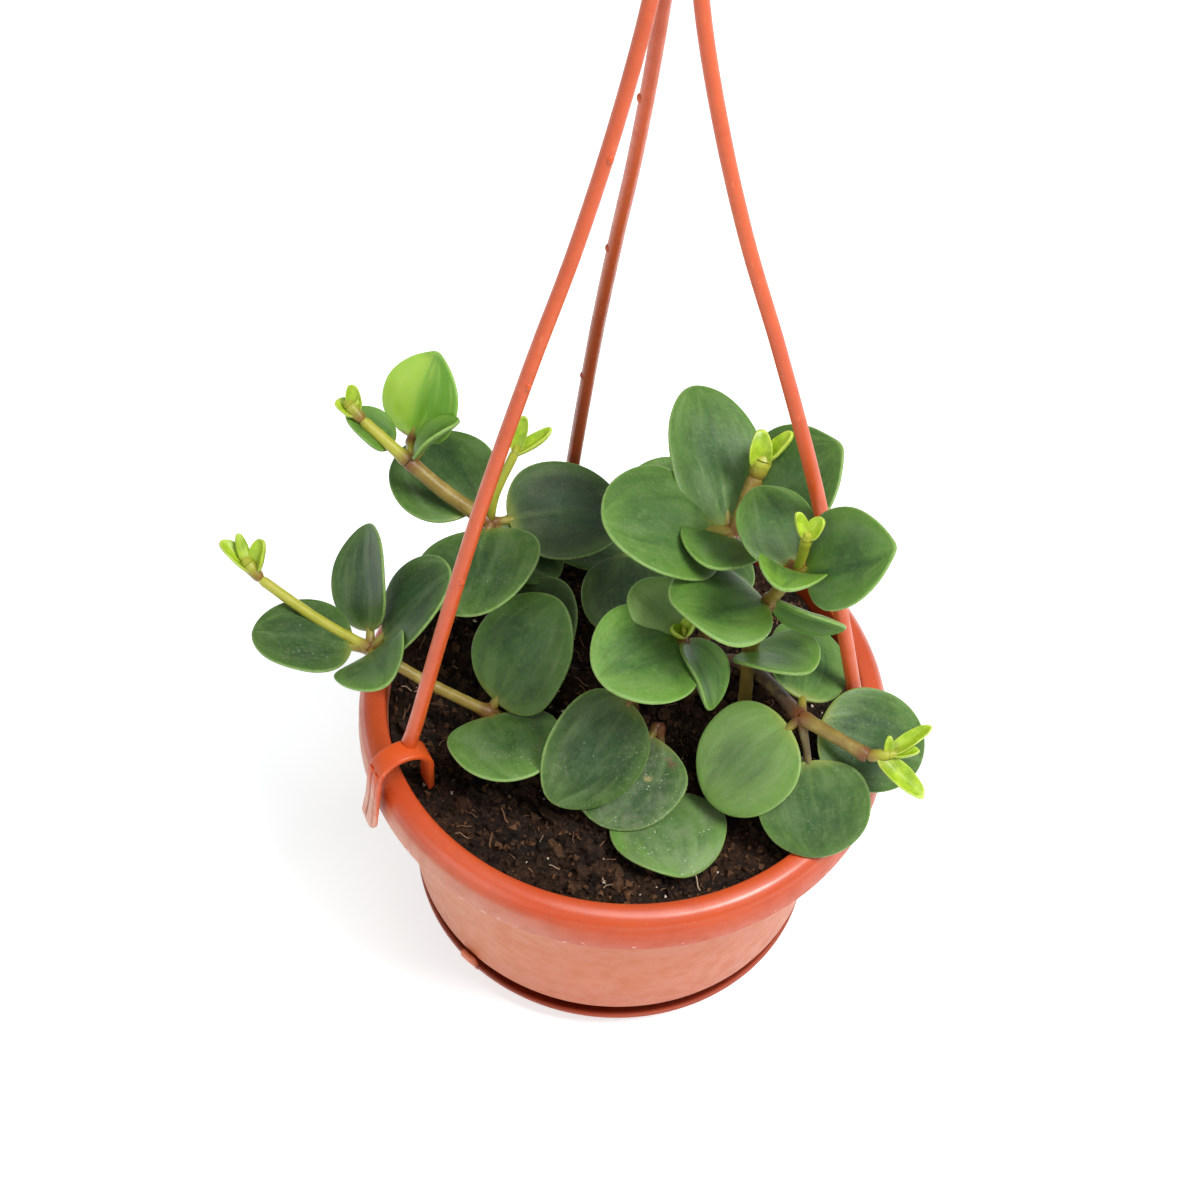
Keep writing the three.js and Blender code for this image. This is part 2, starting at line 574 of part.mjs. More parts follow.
group.add(growingTip('tip_tall', {
  from: TALL_CROWN, way: [point(33.5, -16.4, 158.5)], radius: 0.85,
  leaflets: [[147, 68, 6, 4], [30, 62, 5.8, 4.4]],
}));
group.add(growingTip('tip_low', {
  from: LOW_END, way: [point(58.5, -28, 99.5)],
  leaflets: [[30, 25, 11.5, 4.2], [-40, -15, 11, 5.5], [90, 60, 4.5, 2.5], [5, 15, 6.5, 2.5]],
}));

// The one bright young leaf, upright behind the high knot of the shoot at the back on the left
function youngLeafSolid() {
  const base = REAR_LEFT_HIGH.clone().add(point(-0.1, 7.9, -2.3));
  const outward = base.clone().sub(REAR_LEFT_HIGH).normalize();
  const start = REAR_LEFT_HIGH.clone().addScaledVector(outward, NODE_RADIUS + GAP);
  return fuse([
    stem([start, base], { from: STALK_RADIUS, to: STALK_RADIUS }),
    leaf(base, {
      heading: 65, rise: 57, roll: -6, length: 21.6, width: 20, stalk: 0.6, point: 0.2, cup: 0.5,
    }),
  ]);
}
group.add(toMesh('young_leaf', youngLeafSolid(), COLORS.youngLeaf, 0.45));

export default group;
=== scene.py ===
import random
from math import atan2, cos, exp, hypot, pi, radians, sin, sqrt

import bpy
from mathutils import Matrix, Vector, noise


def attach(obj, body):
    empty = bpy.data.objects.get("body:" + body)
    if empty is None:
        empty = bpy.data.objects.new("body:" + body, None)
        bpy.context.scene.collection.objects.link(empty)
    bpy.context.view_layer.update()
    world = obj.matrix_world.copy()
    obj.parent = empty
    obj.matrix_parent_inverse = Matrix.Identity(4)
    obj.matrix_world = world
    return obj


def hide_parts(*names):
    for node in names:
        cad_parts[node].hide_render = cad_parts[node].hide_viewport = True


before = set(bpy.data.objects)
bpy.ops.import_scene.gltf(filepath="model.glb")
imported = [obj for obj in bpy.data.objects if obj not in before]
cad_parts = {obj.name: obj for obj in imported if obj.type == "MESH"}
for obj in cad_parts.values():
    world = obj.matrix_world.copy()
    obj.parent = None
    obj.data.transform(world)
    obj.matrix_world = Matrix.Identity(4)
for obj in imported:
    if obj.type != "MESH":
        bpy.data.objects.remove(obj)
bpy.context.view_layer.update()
MM = 0.001

# The plant and its pot, in millimetres from the middle of the saucer's underside
SOIL_LEVEL = 69.0
SOIL_CROWN = 1.2
SOIL_FLOOR = 13.95
FRONT_LEAF_BED = (12.0, -35.5)
DRAIN_COUNT = 4
DRAIN_RADIUS = 3
DRAIN_CIRCLE = 24
LUG_AZIMUTHS = (109, 229, 349)
LUG_WIDTH = 3.6
HUB = Vector((-2.7, 1.2, 302.0))
HANGER_AZIMUTHS = (210, 110, 352)
STRAND_RADIUS = 1.45
STRAND_SPACING = 2.4
STRAND_SHIFT = -1.6
STRAND_FOOT_RADIUS = 54.5
STRAND_FOOT_HEIGHT = 86.2
HOOK_RADIUS = 11
HOOK_ROD = 2.2
HOOK_RISE = 26
CLIP_MIDDLE = 57.1
CLIP_ARCH = 7.1
CLIP_SPRINGING = 80.3
CLIP_WIDTH = 5.3
LEG_FLARE = 1.8
CLIP_THICKNESS = 1.4
CLIP_LEG_END = 62.6
CLIP_STEPS = 24
NODE_RADIUS = 2.05
STEM_WOBBLE = 0.06
BLADE_HALF = 0.85
EDGE_HALF = 0.42
FULLNESS = 0.03
# How far light sinks into the plastic, in red, green and blue
PLASTIC_REACH = (1.0, 0.3, 0.15)
# How many pieces lie on the soil
CRUMBS, LUMPS, GRAINS, FIBRES = 7000, 200, 120, 190


# Workbench: how pieces are drawn, spun, bent and joined

def polar(radius, azimuth, height=0.0):
    angle = radians(azimuth)
    return Vector((radius * cos(angle), radius * sin(angle), height))


def pick(piece):
    bpy.ops.object.select_all(action="DESELECT")
    piece.select_set(True)
    bpy.context.view_layer.objects.active = piece


def edit(piece):
    pick(piece)
    bpy.ops.object.mode_set(mode="EDIT")


def leave_edit():
    bpy.ops.object.mode_set(mode="OBJECT")


def settle():
    bpy.ops.object.transform_apply(location=True, rotation=True, scale=True)


def placed(name, data):
    piece = bpy.data.objects.new(name, data)
    bpy.context.collection.objects.link(piece)
    return piece


def drop(piece):
    bpy.data.objects.remove(piece, do_unlink=True)


def drawn_line(name, points, closed=False):
    """Starts from one vertex and extrudes it from point to point, as a pen would (points in mm)."""
    first = Vector(points[0]) * MM
    bpy.ops.object.select_all(action="DESELECT")
    bpy.ops.mesh.primitive_plane_add(size=MM, location=first)
    piece = bpy.context.object
    piece.name = name
    settle()
    edit(piece)
    bpy.ops.mesh.select_mode(type="VERT")
    bpy.ops.mesh.merge(type="CENTER")
    for before, after in zip(points, points[1:]):
        step = (Vector(after) - Vector(before)) * MM
        bpy.ops.mesh.extrude_region_move(TRANSFORM_OT_translate={"value": step})
    bpy.ops.mesh.select_all(action="SELECT")
    if closed:
        bpy.ops.mesh.edge_face_add()
    return piece


def eased(outline, reach):
    """Rounds every inner corner of an outline a little."""
    points = [outline[0]]
    for before, corner, after in zip(outline, outline[1:], outline[2:]):
        before, corner, after = Vector(before), Vector(corner), Vector(after)
        back, on = before - corner, after - corner
        start = corner + back.normalized() * min(reach, back.length * 0.4)
        end = corner + on.normalized() * min(reach, on.length * 0.4)
        for t in (0.0, 0.5, 1.0):
            points.append(start * (1 - t) ** 2 + corner * 2 * t * (1 - t) + end * t ** 2)
    points.append(outline[-1])
    return [tuple(point) for point in points]


def closed_up(piece):
    bpy.ops.mesh.select_all(action="SELECT")
    bpy.ops.mesh.normals_make_consistent(inside=False)
    leave_edit()
    settle()
    return piece


def turned(name, outline, steps, rounding=0.0):
    """A round piece: its outline [radius, height] is drawn and spun about the pot's axis."""
    if rounding:
        outline = eased(outline, rounding)
    piece = drawn_line(name, [(radius, 0, height) for radius, height in outline])
    bpy.ops.mesh.spin(steps=steps, angle=2 * pi, center=(0, 0, 0), axis=(0, 0, 1))
    bpy.ops.mesh.select_all(action="SELECT")
    bpy.ops.mesh.remove_doubles(threshold=0.00001)
    return closed_up(piece)


def slab(name, outline, width):
    """A flat outline [radius, height] drawn upright and given its width sideways."""
    piece = drawn_line(name, [(radius, -width / 2, height) for radius, height in outline], closed=True)
    bpy.ops.mesh.extrude_region_move(TRANSFORM_OT_translate={"value": (0, width * MM, 0)})
    return closed_up(piece)


def soft_edges(piece, width, segments, angle=30):
    pick(piece)
    bevel = piece.modifiers.new("edges", "BEVEL")
    bevel.width = width * MM
    bevel.segments = segments
    bevel.limit_method = "ANGLE"
    bevel.angle_limit = radians(angle)
    bpy.ops.object.modifier_apply(modifier=bevel.name)


def copy_of(piece, name, matrix=None):
    twin = placed(name, piece.data.copy())
    if matrix is not None:
        twin.data.transform(matrix)
    return twin


def joined(name, parts):
    pick(parts[0])
    for part in parts[1:]:
        part.select_set(True)
    bpy.ops.object.join()
    whole = bpy.context.object
    whole.name = name
    whole.data.name = name
    return whole


def smooth_path(points, spacing):
    """Points along a smooth curve through the given ones, about that far apart."""
    points = [Vector(point) for point in points]
    rail = [points[0] * 2 - points[1]] + points + [points[-1] * 2 - points[-2]]
    way = []
    for index in range(1, len(rail) - 2):
        a, b, c, d = rail[index - 1:index + 3]
        count = max(2, round((c - b).length / spacing))
        for step in range(count):
            t = step / count
            way.append(0.5 * ((2 * b) + (c - a) * t + (2 * a - 5 * b + 4 * c - d) * t ** 2
                              + (3 * b - a - 3 * c + d) * t ** 3))
    way.append(points[-1])
    return way


def tube(name, way, radii, smoothness):
    """A rod along the given points, with a radius at each point (mm)."""
    line = bpy.data.curves.new(name, "CURVE")
    line.dimensions = "3D"
    line.bevel_depth = MM
    line.bevel_resolution = smoothness
    line.use_fill_caps = True
    spline = line.splines.new("POLY")
    spline.points.add(len(way) - 1)
    for spot, place, radius in zip(spline.points, way, radii):
        spot.co = (*(place * MM), 1)
        spot.radius = radius
    pick(placed(name, line))
    bpy.ops.object.convert(target="MESH")
    return bpy.context.object


def carve(piece, cutter):
    pick(piece)
    cut = piece.modifiers.new("cut", "BOOLEAN")
    cut.operation = "DIFFERENCE"
    cut.solver = "EXACT"
    cut.object = cutter
    bpy.ops.object.modifier_apply(modifier=cut.name)
    drop(cutter)


def smooth_look(piece, angle):
    pick(piece)
    bpy.ops.object.shade_smooth_by_angle(angle=radians(angle))


def paint(parts, finish):
    for part in parts:
        part.data.materials.clear()
        part.data.materials.append(finish)


def seat(piece, node_names, finish):
    """A finished piece rides on the pot and stands for its CAD nodes."""
    if finish is not None:
        paint([piece], finish)
    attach(piece, "root")
    if node_names:
        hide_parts(*node_names)


def finished(name, parts, angle, node, finish=None):
    whole = joined(name, parts)
    smooth_look(whole, angle)
    seat(whole, [node], finish)


# Finishes

def shade(red, green, blue):
    """A colour as seen on a screen, turned into the light values that the shader wants."""
    return tuple(
        (v / 255) / 12.92 if v <= 10 else ((v / 255 + 0.055) / 1.055) ** 2.4
        for v in (red, green, blue)) + (1.0,)


class Finish:
    """One procedural material: its colour and relief grow step by step, from a first colour."""

    def __init__(self, name, *screen):
        self.material = bpy.data.materials.new(name)
        self.material.use_nodes = True
        self.tree = self.material.node_tree
        self.shader = self.tree.nodes["Principled BSDF"]
        self.colour = shade(*screen)
        self.normal = None
        self.place = self.node("ShaderNodeTexCoord").outputs["Object"]

    def node(self, kind, inputs=(), **settings):
        made = self.tree.nodes.new(kind)
        for key, value in settings.items():
            setattr(made, key, value)
        for key, value in dict(inputs).items():
            self.feed(made.inputs[key], value)
        return made

    def feed(self, socket, value):
        if isinstance(value, bpy.types.NodeSocket):
            self.tree.links.new(value, socket)
        else:
            socket.default_value = value

    def stretched(self, scale, place=None):
        return self.node("ShaderNodeMapping", {
            "Vector": place or self.place, "Scale": scale}).outputs[0]

    def cloud(self, scale, detail=3.0, rough=0.5, place=None, warp=0.0):
        return self.node("ShaderNodeTexNoise", {
            "Vector": place or self.place, "Scale": scale, "Detail": detail,
            "Roughness": rough, "Distortion": warp}).outputs["Fac"]

    def cells(self, scale):
        return self.node("ShaderNodeTexVoronoi", {
            "Vector": self.place, "Scale": scale}).outputs["Distance"]

    def calc(self, operation, first, second=0.0):
        return self.node("ShaderNodeMath", {0: first, 1: second}, operation=operation).outputs[0]

    def both(self, first, second):
        return self.calc("MULTIPLY", first, second)

    def band(self, value, low, high, out_low=0.0, out_high=1.0):
        """A value brought softly from one range into another."""
        return self.node("ShaderNodeMapRange", {
            "Value": value, "From Min": low, "From Max": high,
            "To Min": out_low, "To Max": out_high}, interpolation_type="SMOOTHSTEP").outputs[0]

    def tint(self, share, *screen):
        """Brings the colour part of the way to another, which is given as seen on a screen."""
        self.colour = self.node("ShaderNodeMix", {0: share, 6: self.colour, 7: shade(*screen)},
                                data_type="RGBA").outputs[2]

    def veil(self, value, low, high, most, *screen):
        """Tints where a value lies towards the high end of a range, by at most that share."""
        self.tint(self.band(value, low, high, 0.0, most), *screen)

    def channels(self, name):
        """The three numbers and the fourth that a piece carries at each vertex."""
        held = self.node("ShaderNodeAttribute", attribute_name=name)
        split = self.node("ShaderNodeSeparateColor", {0: held.outputs["Color"]})
        return (*split.outputs[:3], held.outputs["Alpha"])

    def axes(self, place=None):
        return self.node("ShaderNodeSeparateXYZ", {0: place or self.place}).outputs

    def leaf_map(self):
        return self.node("ShaderNodeUVMap", uv_map="leaf_map").outputs[0]

    def spot(self, where, radius):
        """1 within a radius of a place on the plant, 0 beyond it (mm)."""
        away = self.node("ShaderNodeVectorMath", {0: self.place, 1: Vector(where) * MM},
                         operation="DISTANCE").outputs["Value"]
        ragged = self.calc("ADD", away, self.both(self.cloud(700, 2), 0.002))
        return self.band(ragged, (radius + 2.2) * MM, (radius + 1.0) * MM)

    def relief(self, height, distance, strength=1.0):
        """Lays one more relief over those before it (mm)."""
        made = self.node("ShaderNodeBump", {
            "Height": height, "Distance": distance * MM, "Strength": strength})
        if self.normal is not None:
            self.feed(made.inputs["Normal"], self.normal)
        self.normal = made.outputs[0]

    def wear(self, **sockets):
        names = {"rough": "Roughness", "shine": "Specular IOR Level", "flesh": "Subsurface Weight",
                 "flesh_depth": "Subsurface Scale", "flesh_reach": "Subsurface Radius",
                 "coat": "Coat Weight", "coat_rough": "Coat Roughness"}
        self.feed(self.shader.inputs["Base Color"], self.colour)
        if self.normal is not None:
            self.feed(self.shader.inputs["Normal"], self.normal)
        for word, value in sockets.items():
            self.feed(self.shader.inputs[names[word]], value)
        return self.material


def moulded_plastic(name, body, pale, grime, haze_share):
    """Satin moulded plastic with paler patches, a pale grey haze on one side, drips, fine scuffs and
    darker blotches.
    """
    f = Finish(name, *body)
    east, north, up = f.axes()
    f.veil(f.cloud(38, 3, 0.55), 0.35, 0.7, 0.3, *pale)
    # a paler, greyer haze in soft patches on the side that faces away from the light, below the rolled
    # edge
    haze = f.band(f.cloud(75, 4, 0.6, f.stretched((1, 1, 0.4))), 0.2, 0.75, 0.45, 1.0)
    side = f.band(f.calc("ADD", f.both(east, -1.0), f.both(north, -0.45)), 0.022, 0.062)
    low = f.band(up, 0.0728, 0.0700)
    f.tint(f.both(f.both(haze, f.both(side, low)), haze_share), 196, 142, 118)
    # drips and wipe marks that run down the wall
    f.veil(f.cloud(90, 3, 0.5, f.stretched((1, 1, 0.16))), 0.55, 0.78, 0.14, *pale)
    f.veil(f.cloud(1500, 2), 0.66, 0.76, 0.16, 232, 176, 136)
    dull = f.band(f.cloud(260, 4, 0.6), 0.35, 0.75)
    f.tint(f.both(dull, 0.16), *grime)
    f.relief(f.cloud(900, 3, 0.6), 0.05, 0.5)
    f.relief(f.cloud(60, 2), 0.4, 0.25)
    return f, f.calc("ADD", f.both(dull, 0.14), 0.4)


def pot_plastic():
    f, rough = moulded_plastic("pot_plastic", (182, 66, 22), (198, 84, 34), (132, 48, 24), 0.75)
    up = f.axes()[2]
    # painted light: the thin wall is painted paler than the thick rolled rim, for light that shines
    # through it
    f.veil(up, 0.0655, 0.0645, 0.5, 190, 108, 50)
    f.veil(up, 0.03, 0.012, 0.3, 170, 72, 36)
    # small white nicks where the skirt was knocked
    nick_height = f.both(f.band(up, 0.064, 0.0652), f.band(up, 0.0672, 0.0662))
    nicks = f.both(nick_height, f.band(f.cloud(420, 2), 0.64, 0.7))
    f.tint(f.both(nicks, 0.35), 240, 214, 198)
    # the crest of the rim is polished by handling
    crest = f.both(f.band(up, 0.0715, 0.0740), f.band(f.cloud(45, 2), 0.3, 0.6, 0.5, 1.0))
    return f.wear(rough=rough, shine=0.32, coat=crest, coat_rough=0.3, flesh=0.08,
                  flesh_depth=0.003, flesh_reach=PLASTIC_REACH)


def saucer_plastic():
    # partly painted shade: the saucer is painted darker than the pot, for the shade it sits in under the
    # pot
    f, rough = moulded_plastic("saucer_plastic", (150, 62, 38), (180, 88, 60), (110, 48, 34), 0.2)
    up = f.axes()[2]
    dust = f.both(f.band(up, 0.004, 0.0015), f.band(f.cloud(300, 4), 0.4, 0.7))
    f.tint(f.both(dust, 0.5), 110, 80, 66)
    # painted light: the thin lugs stand in the light and are painted paler
    f.veil(up, 0.0082, 0.0092, 1, 204, 112, 74)
    return f.wear(rough=rough, shine=0.45, flesh=0.08, flesh_depth=0.002, flesh_reach=PLASTIC_REACH)


def hanger_plastic():
    f, rough = moulded_plastic("hanger_plastic", (192, 74, 22), (208, 92, 36), (132, 54, 28), 0.0)
    east, north, up = f.axes()
    # painted shade: the strand behind the plant is painted darker, mostly in its lower half, where the
    # plant shades it
    back_strand_shade = f.both(f.band(north, 0.008, 0.03), f.band(east, 0.012, -0.002))
    low = f.band(up, 0.26, 0.12, 0.35, 1.0)
    f.tint(f.both(f.both(back_strand_shade, low), 0.62), 116, 50, 28)
    # dust has settled on the outer leg of the clip in front
    front = f.band(f.calc("ADD", f.both(east, -0.866), f.both(north, -0.5)), 0.0642, 0.0652)
    dust = f.both(front, f.band(up, 0.084, 0.078))
    dust = f.both(dust, f.band(f.cloud(330, 4, 0.65), 0.3, 0.6, 0.3, 0.75))
    f.tint(dust, 196, 152, 130)
    # painted highlight: faint pale streaks that run along the strands
    f.veil(f.cloud(700, 3, 0.6, f.stretched((1, 1, 0.3))), 0.62, 0.72, 0.2, 228, 140, 94)
    return f.wear(rough=f.calc("SUBTRACT", rough, 0.04), shine=0.4, coat=0.15, coat_rough=0.25,
                  flesh=0.1, flesh_depth=0.002, flesh_reach=PLASTIC_REACH)


def peat():
    f = Finish("peat", 14, 8, 5)
    damp = f.cloud(70, 4, 0.6)
    grain = f.cloud(700, 5, 0.7)
    clods = f.cloud(330, 3, 0.55)
    f.veil(damp, 0.35, 0.68, 1, 46, 29, 18)
    f.veil(grain, 0.48, 0.75, 0.6, 88, 60, 40)
    f.veil(f.channels("bit")[0], 0.0, 1.0, 0.9, 112, 78, 52)
    # painted shade: small dark spots stand for pits in the peat
    f.veil(f.cells(600), 0.25, 0.0, 0.5, 10, 6, 4)
    f.veil(f.cloud(2600, 2), 0.71, 0.77, 0.5, 150, 118, 94)
    # painted light and shade: the clods are lighter on their tops and near black in the hollows between
    # them, following their relief
    f.veil(clods, 0.5, 0.7, 0.5, 78, 53, 36)
    f.veil(clods, 0.45, 0.28, 0.6, 12, 7, 5)
    f.relief(clods, 1.6)
    f.relief(grain, 1.2)
    f.relief(f.cloud(2400, 3), 0.3, 0.9)
    return f.wear(rough=f.band(damp, 0.3, 0.7, 0.6, 0.95), shine=0.22)


def perlite():
    f = Finish("perlite", 170, 148, 130)
    grain = f.cloud(1800, 4, 0.65)
    f.veil(grain, 0.35, 0.65, 1, 226, 216, 204)
    f.relief(grain, 0.3, 0.8)
    return f.wear(rough=f.band(grain, 0.3, 0.7, 0.7, 0.95), shine=0.3)


def dry_fibre():
    f = Finish("dry_fibre", 78, 50, 34)
    strand = f.cloud(600, 3)
    f.tint(strand, 128, 92, 66)
    f.veil(f.channels("bit")[0], 0.7, 1.0, 0.7, 188, 164, 136)
    f.relief(f.cloud(3000), 0.1)
    return f.wear(rough=f.band(strand, 0.3, 0.7, 0.6, 0.85), shine=0.3)


SCARS = [((11.7, -21.4, 77.6), 1.0, (92, 60, 42)), ((6.4, -24.8, 76.5), 1.0, (150, 142, 92)),
         ((11.0, -20.0, 78.0), 0.4, (120, 96, 78))]


def leaf_skin():
    f = Finish("leaf_skin", 108, 152, 46)
    rim, upper, age, tone = f.channels("blade")
    dust, pale = f.channels("growth")[2:]
    leaf_u, leaf_v, _ = f.axes(f.leaf_map())
    own = f.node("ShaderNodeCombineXYZ", {0: leaf_u, 1: leaf_v, 2: f.both(tone, 37.0)}).outputs[0]
    bands = f.cloud(1.0, 2, 0.5, f.stretched((1.3, 4.5, 1), own), 0.5)
    streaks = f.cloud(1.0, 3, 0.6, f.stretched((3, 17, 1), own), 0.3)
    blotch = f.cloud(120, 4, 0.6)
    fine = f.cloud(1000, 4, 0.65)
    f.veil(age, 0.0, 0.4, 1, 76, 114, 44)
    f.veil(age, 0.35, 0.95, 1, 36, 56, 28)
    # painted shade: an age past 0.95 darkens a blade further still, for blades that lie in the shade
    # under others
    f.veil(age, 0.95, 1.3, 1, 12, 22, 12)
    fresh = f.band(age, 1.1, 0.1, 0.1, 0.42)
    f.tint(f.both(f.band(blotch, 0.45, 0.75), fresh), 106, 140, 64)
    f.veil(blotch, 0.5, 0.25, 0.55, 26, 50, 26)
    # soft bands along the blade: the pale grey ones are partly a waxy grey coating and partly painted
    # sheen, over darker flesh
    f.veil(bands, 0.52, 0.3, 0.5, 28, 56, 32)
    old = f.band(age, 1.1, 0.8, 0.1, 1.0)
    wax_and_sheen = f.both(f.band(age, 0.0, 0.7, 0.15, 0.42), old)
    f.tint(f.both(f.band(bands, 0.48, 0.75), wax_and_sheen), 112, 136, 92)
    f.tint(f.both(f.band(streaks, 0.5, 0.75, 0.0, 0.18), old), 130, 158, 88)
    # some blades are paler all over by their own tone; on the small blade at the centre's crown this is
    # painted light, against the shade of the blade above
    f.tint(f.both(pale, f.band(streaks, 0.25, 0.65, 0.6, 1.0)), 152, 178, 116)
    # the heart of a blade is cooler and darker, partly painted shade; its margin warmer and more
    # translucent, partly painted light shining through the thin edge
    f.veil(rim, 0.8, 0.1, 0.4, 34, 70, 40)
    warm = f.both(f.band(rim, 0.6, 1.0), f.band(age, 0.0, 0.8, 0.45, 0.2))
    f.tint(warm, 100, 144, 46)
    # one soft pale line along the middle, widest at the stalk
    middle = f.calc("ABSOLUTE", f.calc("SUBTRACT", leaf_v, 0.5))
    vein = f.both(f.band(middle, 0.05, 0.0), f.band(leaf_u, 0.8, 0.1, 0.0, 0.13))
    f.tint(vein, 124, 152, 76)
    f.tint(f.both(f.band(fine, 0.5, 0.8, 0.0, 0.3), old), 116, 148, 76)
    f.veil(fine, 0.45, 0.25, 0.25, 30, 54, 26)
    # the underside is paler than the upper side
    f.veil(upper, 0.5, 0.2, 0.6, 104, 128, 74)
    edge = f.both(f.band(rim, 0.955, 1.0), f.band(fine, 0.3, 0.6, 0.3, 0.6))
    f.tint(edge, 140, 168, 92)
    # the stalk end of a blade is paler and yellower
    f.veil(leaf_u, 0.12, 0.0, 0.4, 150, 150, 66)
    specks = f.both(f.band(f.cloud(1900, 2, 0.4), 0.66, 0.72), f.band(f.cloud(170, 2), 0.42, 0.62))
    f.tint(f.both(specks, dust), 196, 196, 180)
    film = f.both(f.band(f.cloud(240, 5, 0.65), 0.38, 0.72), f.both(dust, 0.5))
    f.tint(film, 116, 124, 98)
    for where, radius, tint in SCARS:
        f.tint(f.both(f.spot(where, radius), 0.75), *tint)
    rough = f.calc("ADD", f.band(fine, 0.3, 0.7, 0.38, 0.5), f.both(dust, 0.14))
    f.relief(f.cells(1300), 0.05, 0.5)
    f.relief(bands, 0.35, 0.3)
    f.relief(fine, 0.1, 0.5)
    return f.wear(rough=rough, shine=0.38, flesh=0.12, flesh_depth=0.002,
                  flesh_reach=(0.35, 1.0, 0.1))


def stem_skin():
    f = Finish("stem_skin", 164, 164, 52)
    age = f.channels("blade")[2]
    near_node, pale = f.channels("growth")[1::2]
    streaks = f.cloud(260, 4, 0.6)
    f.veil(age, 0.1, 0.5, 1, 128, 108, 44)
    f.veil(age, 0.5, 1.0, 1, 84, 62, 48)
    f.veil(streaks, 0.45, 0.75, 0.4, 180, 164, 86)
    f.veil(streaks, 0.45, 0.2, 0.5, 84, 58, 28)
    f.veil(pale, 0.1, 1.0, 0.7, 104, 128, 52)
    f.veil(near_node, 0.15, 0.9, 0.9, 104, 48, 24)
    f.veil(f.cloud(2300, 2), 0.66, 0.72, 0.35, 200, 170, 120)
    f.relief(f.cloud(700, 4, 0.6), 0.2, 0.6)
    return f.wear(rough=f.band(streaks, 0.3, 0.7, 0.36, 0.5), shine=0.45, flesh=0.12,
                  flesh_depth=0.002, flesh_reach=(1.0, 0.7, 0.25))


def tip_skin():
    f = Finish("tip_skin", 128, 160, 24)
    rim = f.channels("blade")[0]
    stem, near_node = f.channels("growth")[:2]
    leaf_u = f.axes(f.leaf_map())[0]
    soft = f.cloud(320, 3)
    f.veil(soft, 0.3, 0.7, 1, 166, 192, 48)
    # the far half of a lobe is the freshest, its foot is tan
    foot = f.both(f.band(leaf_u, 0.45, 0.0), f.calc("SUBTRACT", 1.0, stem))
    f.tint(f.both(foot, 0.6), 130, 134, 60)
    f.tint(f.both(stem, 0.75), 156, 152, 52)
    f.veil(near_node, 0.1, 0.9, 0.85, 124, 84, 40)
    f.veil(rim, 0.85, 1.0, 0.45, 196, 204, 100)
    f.veil(f.cloud(900, 3), 0.6, 0.72, 0.3, 168, 130, 62)
    f.relief(f.cloud(1100, 3), 0.15, 0.5)
    return f.wear(rough=f.band(soft, 0.2, 0.8, 0.36, 0.5), shine=0.45, flesh=0.25,
                  flesh_depth=0.002, flesh_reach=(0.6, 1.0, 0.1))


def young_leaf_skin():
    f = Finish("young_leaf_skin", 96, 148, 30)
    rim = f.channels("blade")[0]
    leaf_map = f.leaf_map()
    leaf_u, leaf_v, _ = f.axes(leaf_map)
    stripes = f.cloud(1.0, 3, 0.5, f.stretched((1.6, 7, 1), leaf_map), 0.4)
    soft = f.cloud(180, 3)
    # painted light: the half of the fold that faces the light is painted lighter and yellower
    f.veil(leaf_v, 0.4, 0.68, 1, 154, 190, 62)
    f.veil(stripes, 0.45, 0.75, 0.5, 172, 200, 92)
    f.veil(soft, 0.5, 0.25, 0.35, 96, 150, 36)
    # painted shade: a darker line along the fold in the middle
    middle = f.calc("ABSOLUTE", f.calc("SUBTRACT", leaf_v, 0.52))
    f.veil(middle, 0.05, 0.0, 0.45, 96, 150, 34)
    f.veil(leaf_u, 0.88, 1.0, 0.6, 84, 130, 44)
    f.veil(rim, 0.93, 1.0, 0.4, 160, 190, 96)
    f.veil(leaf_u, 0.08, 0.0, 1, 130, 92, 42)
    f.relief(stripes, 0.4, 0.4)
    return f.wear(rough=f.band(soft, 0.3, 0.7, 0.34, 0.46), shine=0.45, flesh=0.3,
                  flesh_depth=0.002, flesh_reach=(0.5, 1.0, 0.1))


# Pot, saucer and hanger

def pot():
    """Thin pot with a rolled rim, its skirt, a foot ring and four drain holes."""
    outline = [
        (0, 12.2), (38.6, 12.2), (38.6, 1.65), (40, 1.65), (40.4, 12.2), (48.5, 12.2), (49.7, 13.5),
        (53.35, 41.2), (57, 68.6), (60.6, 69.2), (61.3, 65.1), (62.5, 65), (62.35, 69), (62, 71.4),
        (61.2, 73.4), (59.7, 74.6), (57.9, 75), (56.4, 74.9), (55.9, 74.3), (55.6, 71), (55.2, 65),
        (51.8, 38), (48.3, 13.6), (0, 13.6)]
    body = turned("pot_body", outline, 144, rounding=0.55)
    for index in range(DRAIN_COUNT):
        where = polar(DRAIN_CIRCLE, 45 + 90 * index, 12.9) * MM
        bpy.ops.mesh.primitive_cylinder_add(vertices=32, radius=DRAIN_RADIUS * MM, depth=4 * MM,
                                            location=where)
        carve(body, bpy.context.object)
    # the slot above each lug, where the saucer snaps in
    for azimuth in LUG_AZIMUTHS:
        bpy.ops.mesh.primitive_cube_add(size=1, location=(0, 0, 0))
        cutter = bpy.context.object
        cutter.dimensions = (1.6 * MM, 3.8 * MM, 2.6 * MM)
        settle()
        soft_edges(cutter, 0.7, 3)
        cutter.data.transform(Matrix.Rotation(radians(azimuth), 4, "Z")
                              @ Matrix.Translation(Vector((50.75, 0, 16.9)) * MM))
        carve(body, cutter)
    smooth_look(body, 35)
    seat(body, ["pot"], pot_plastic())


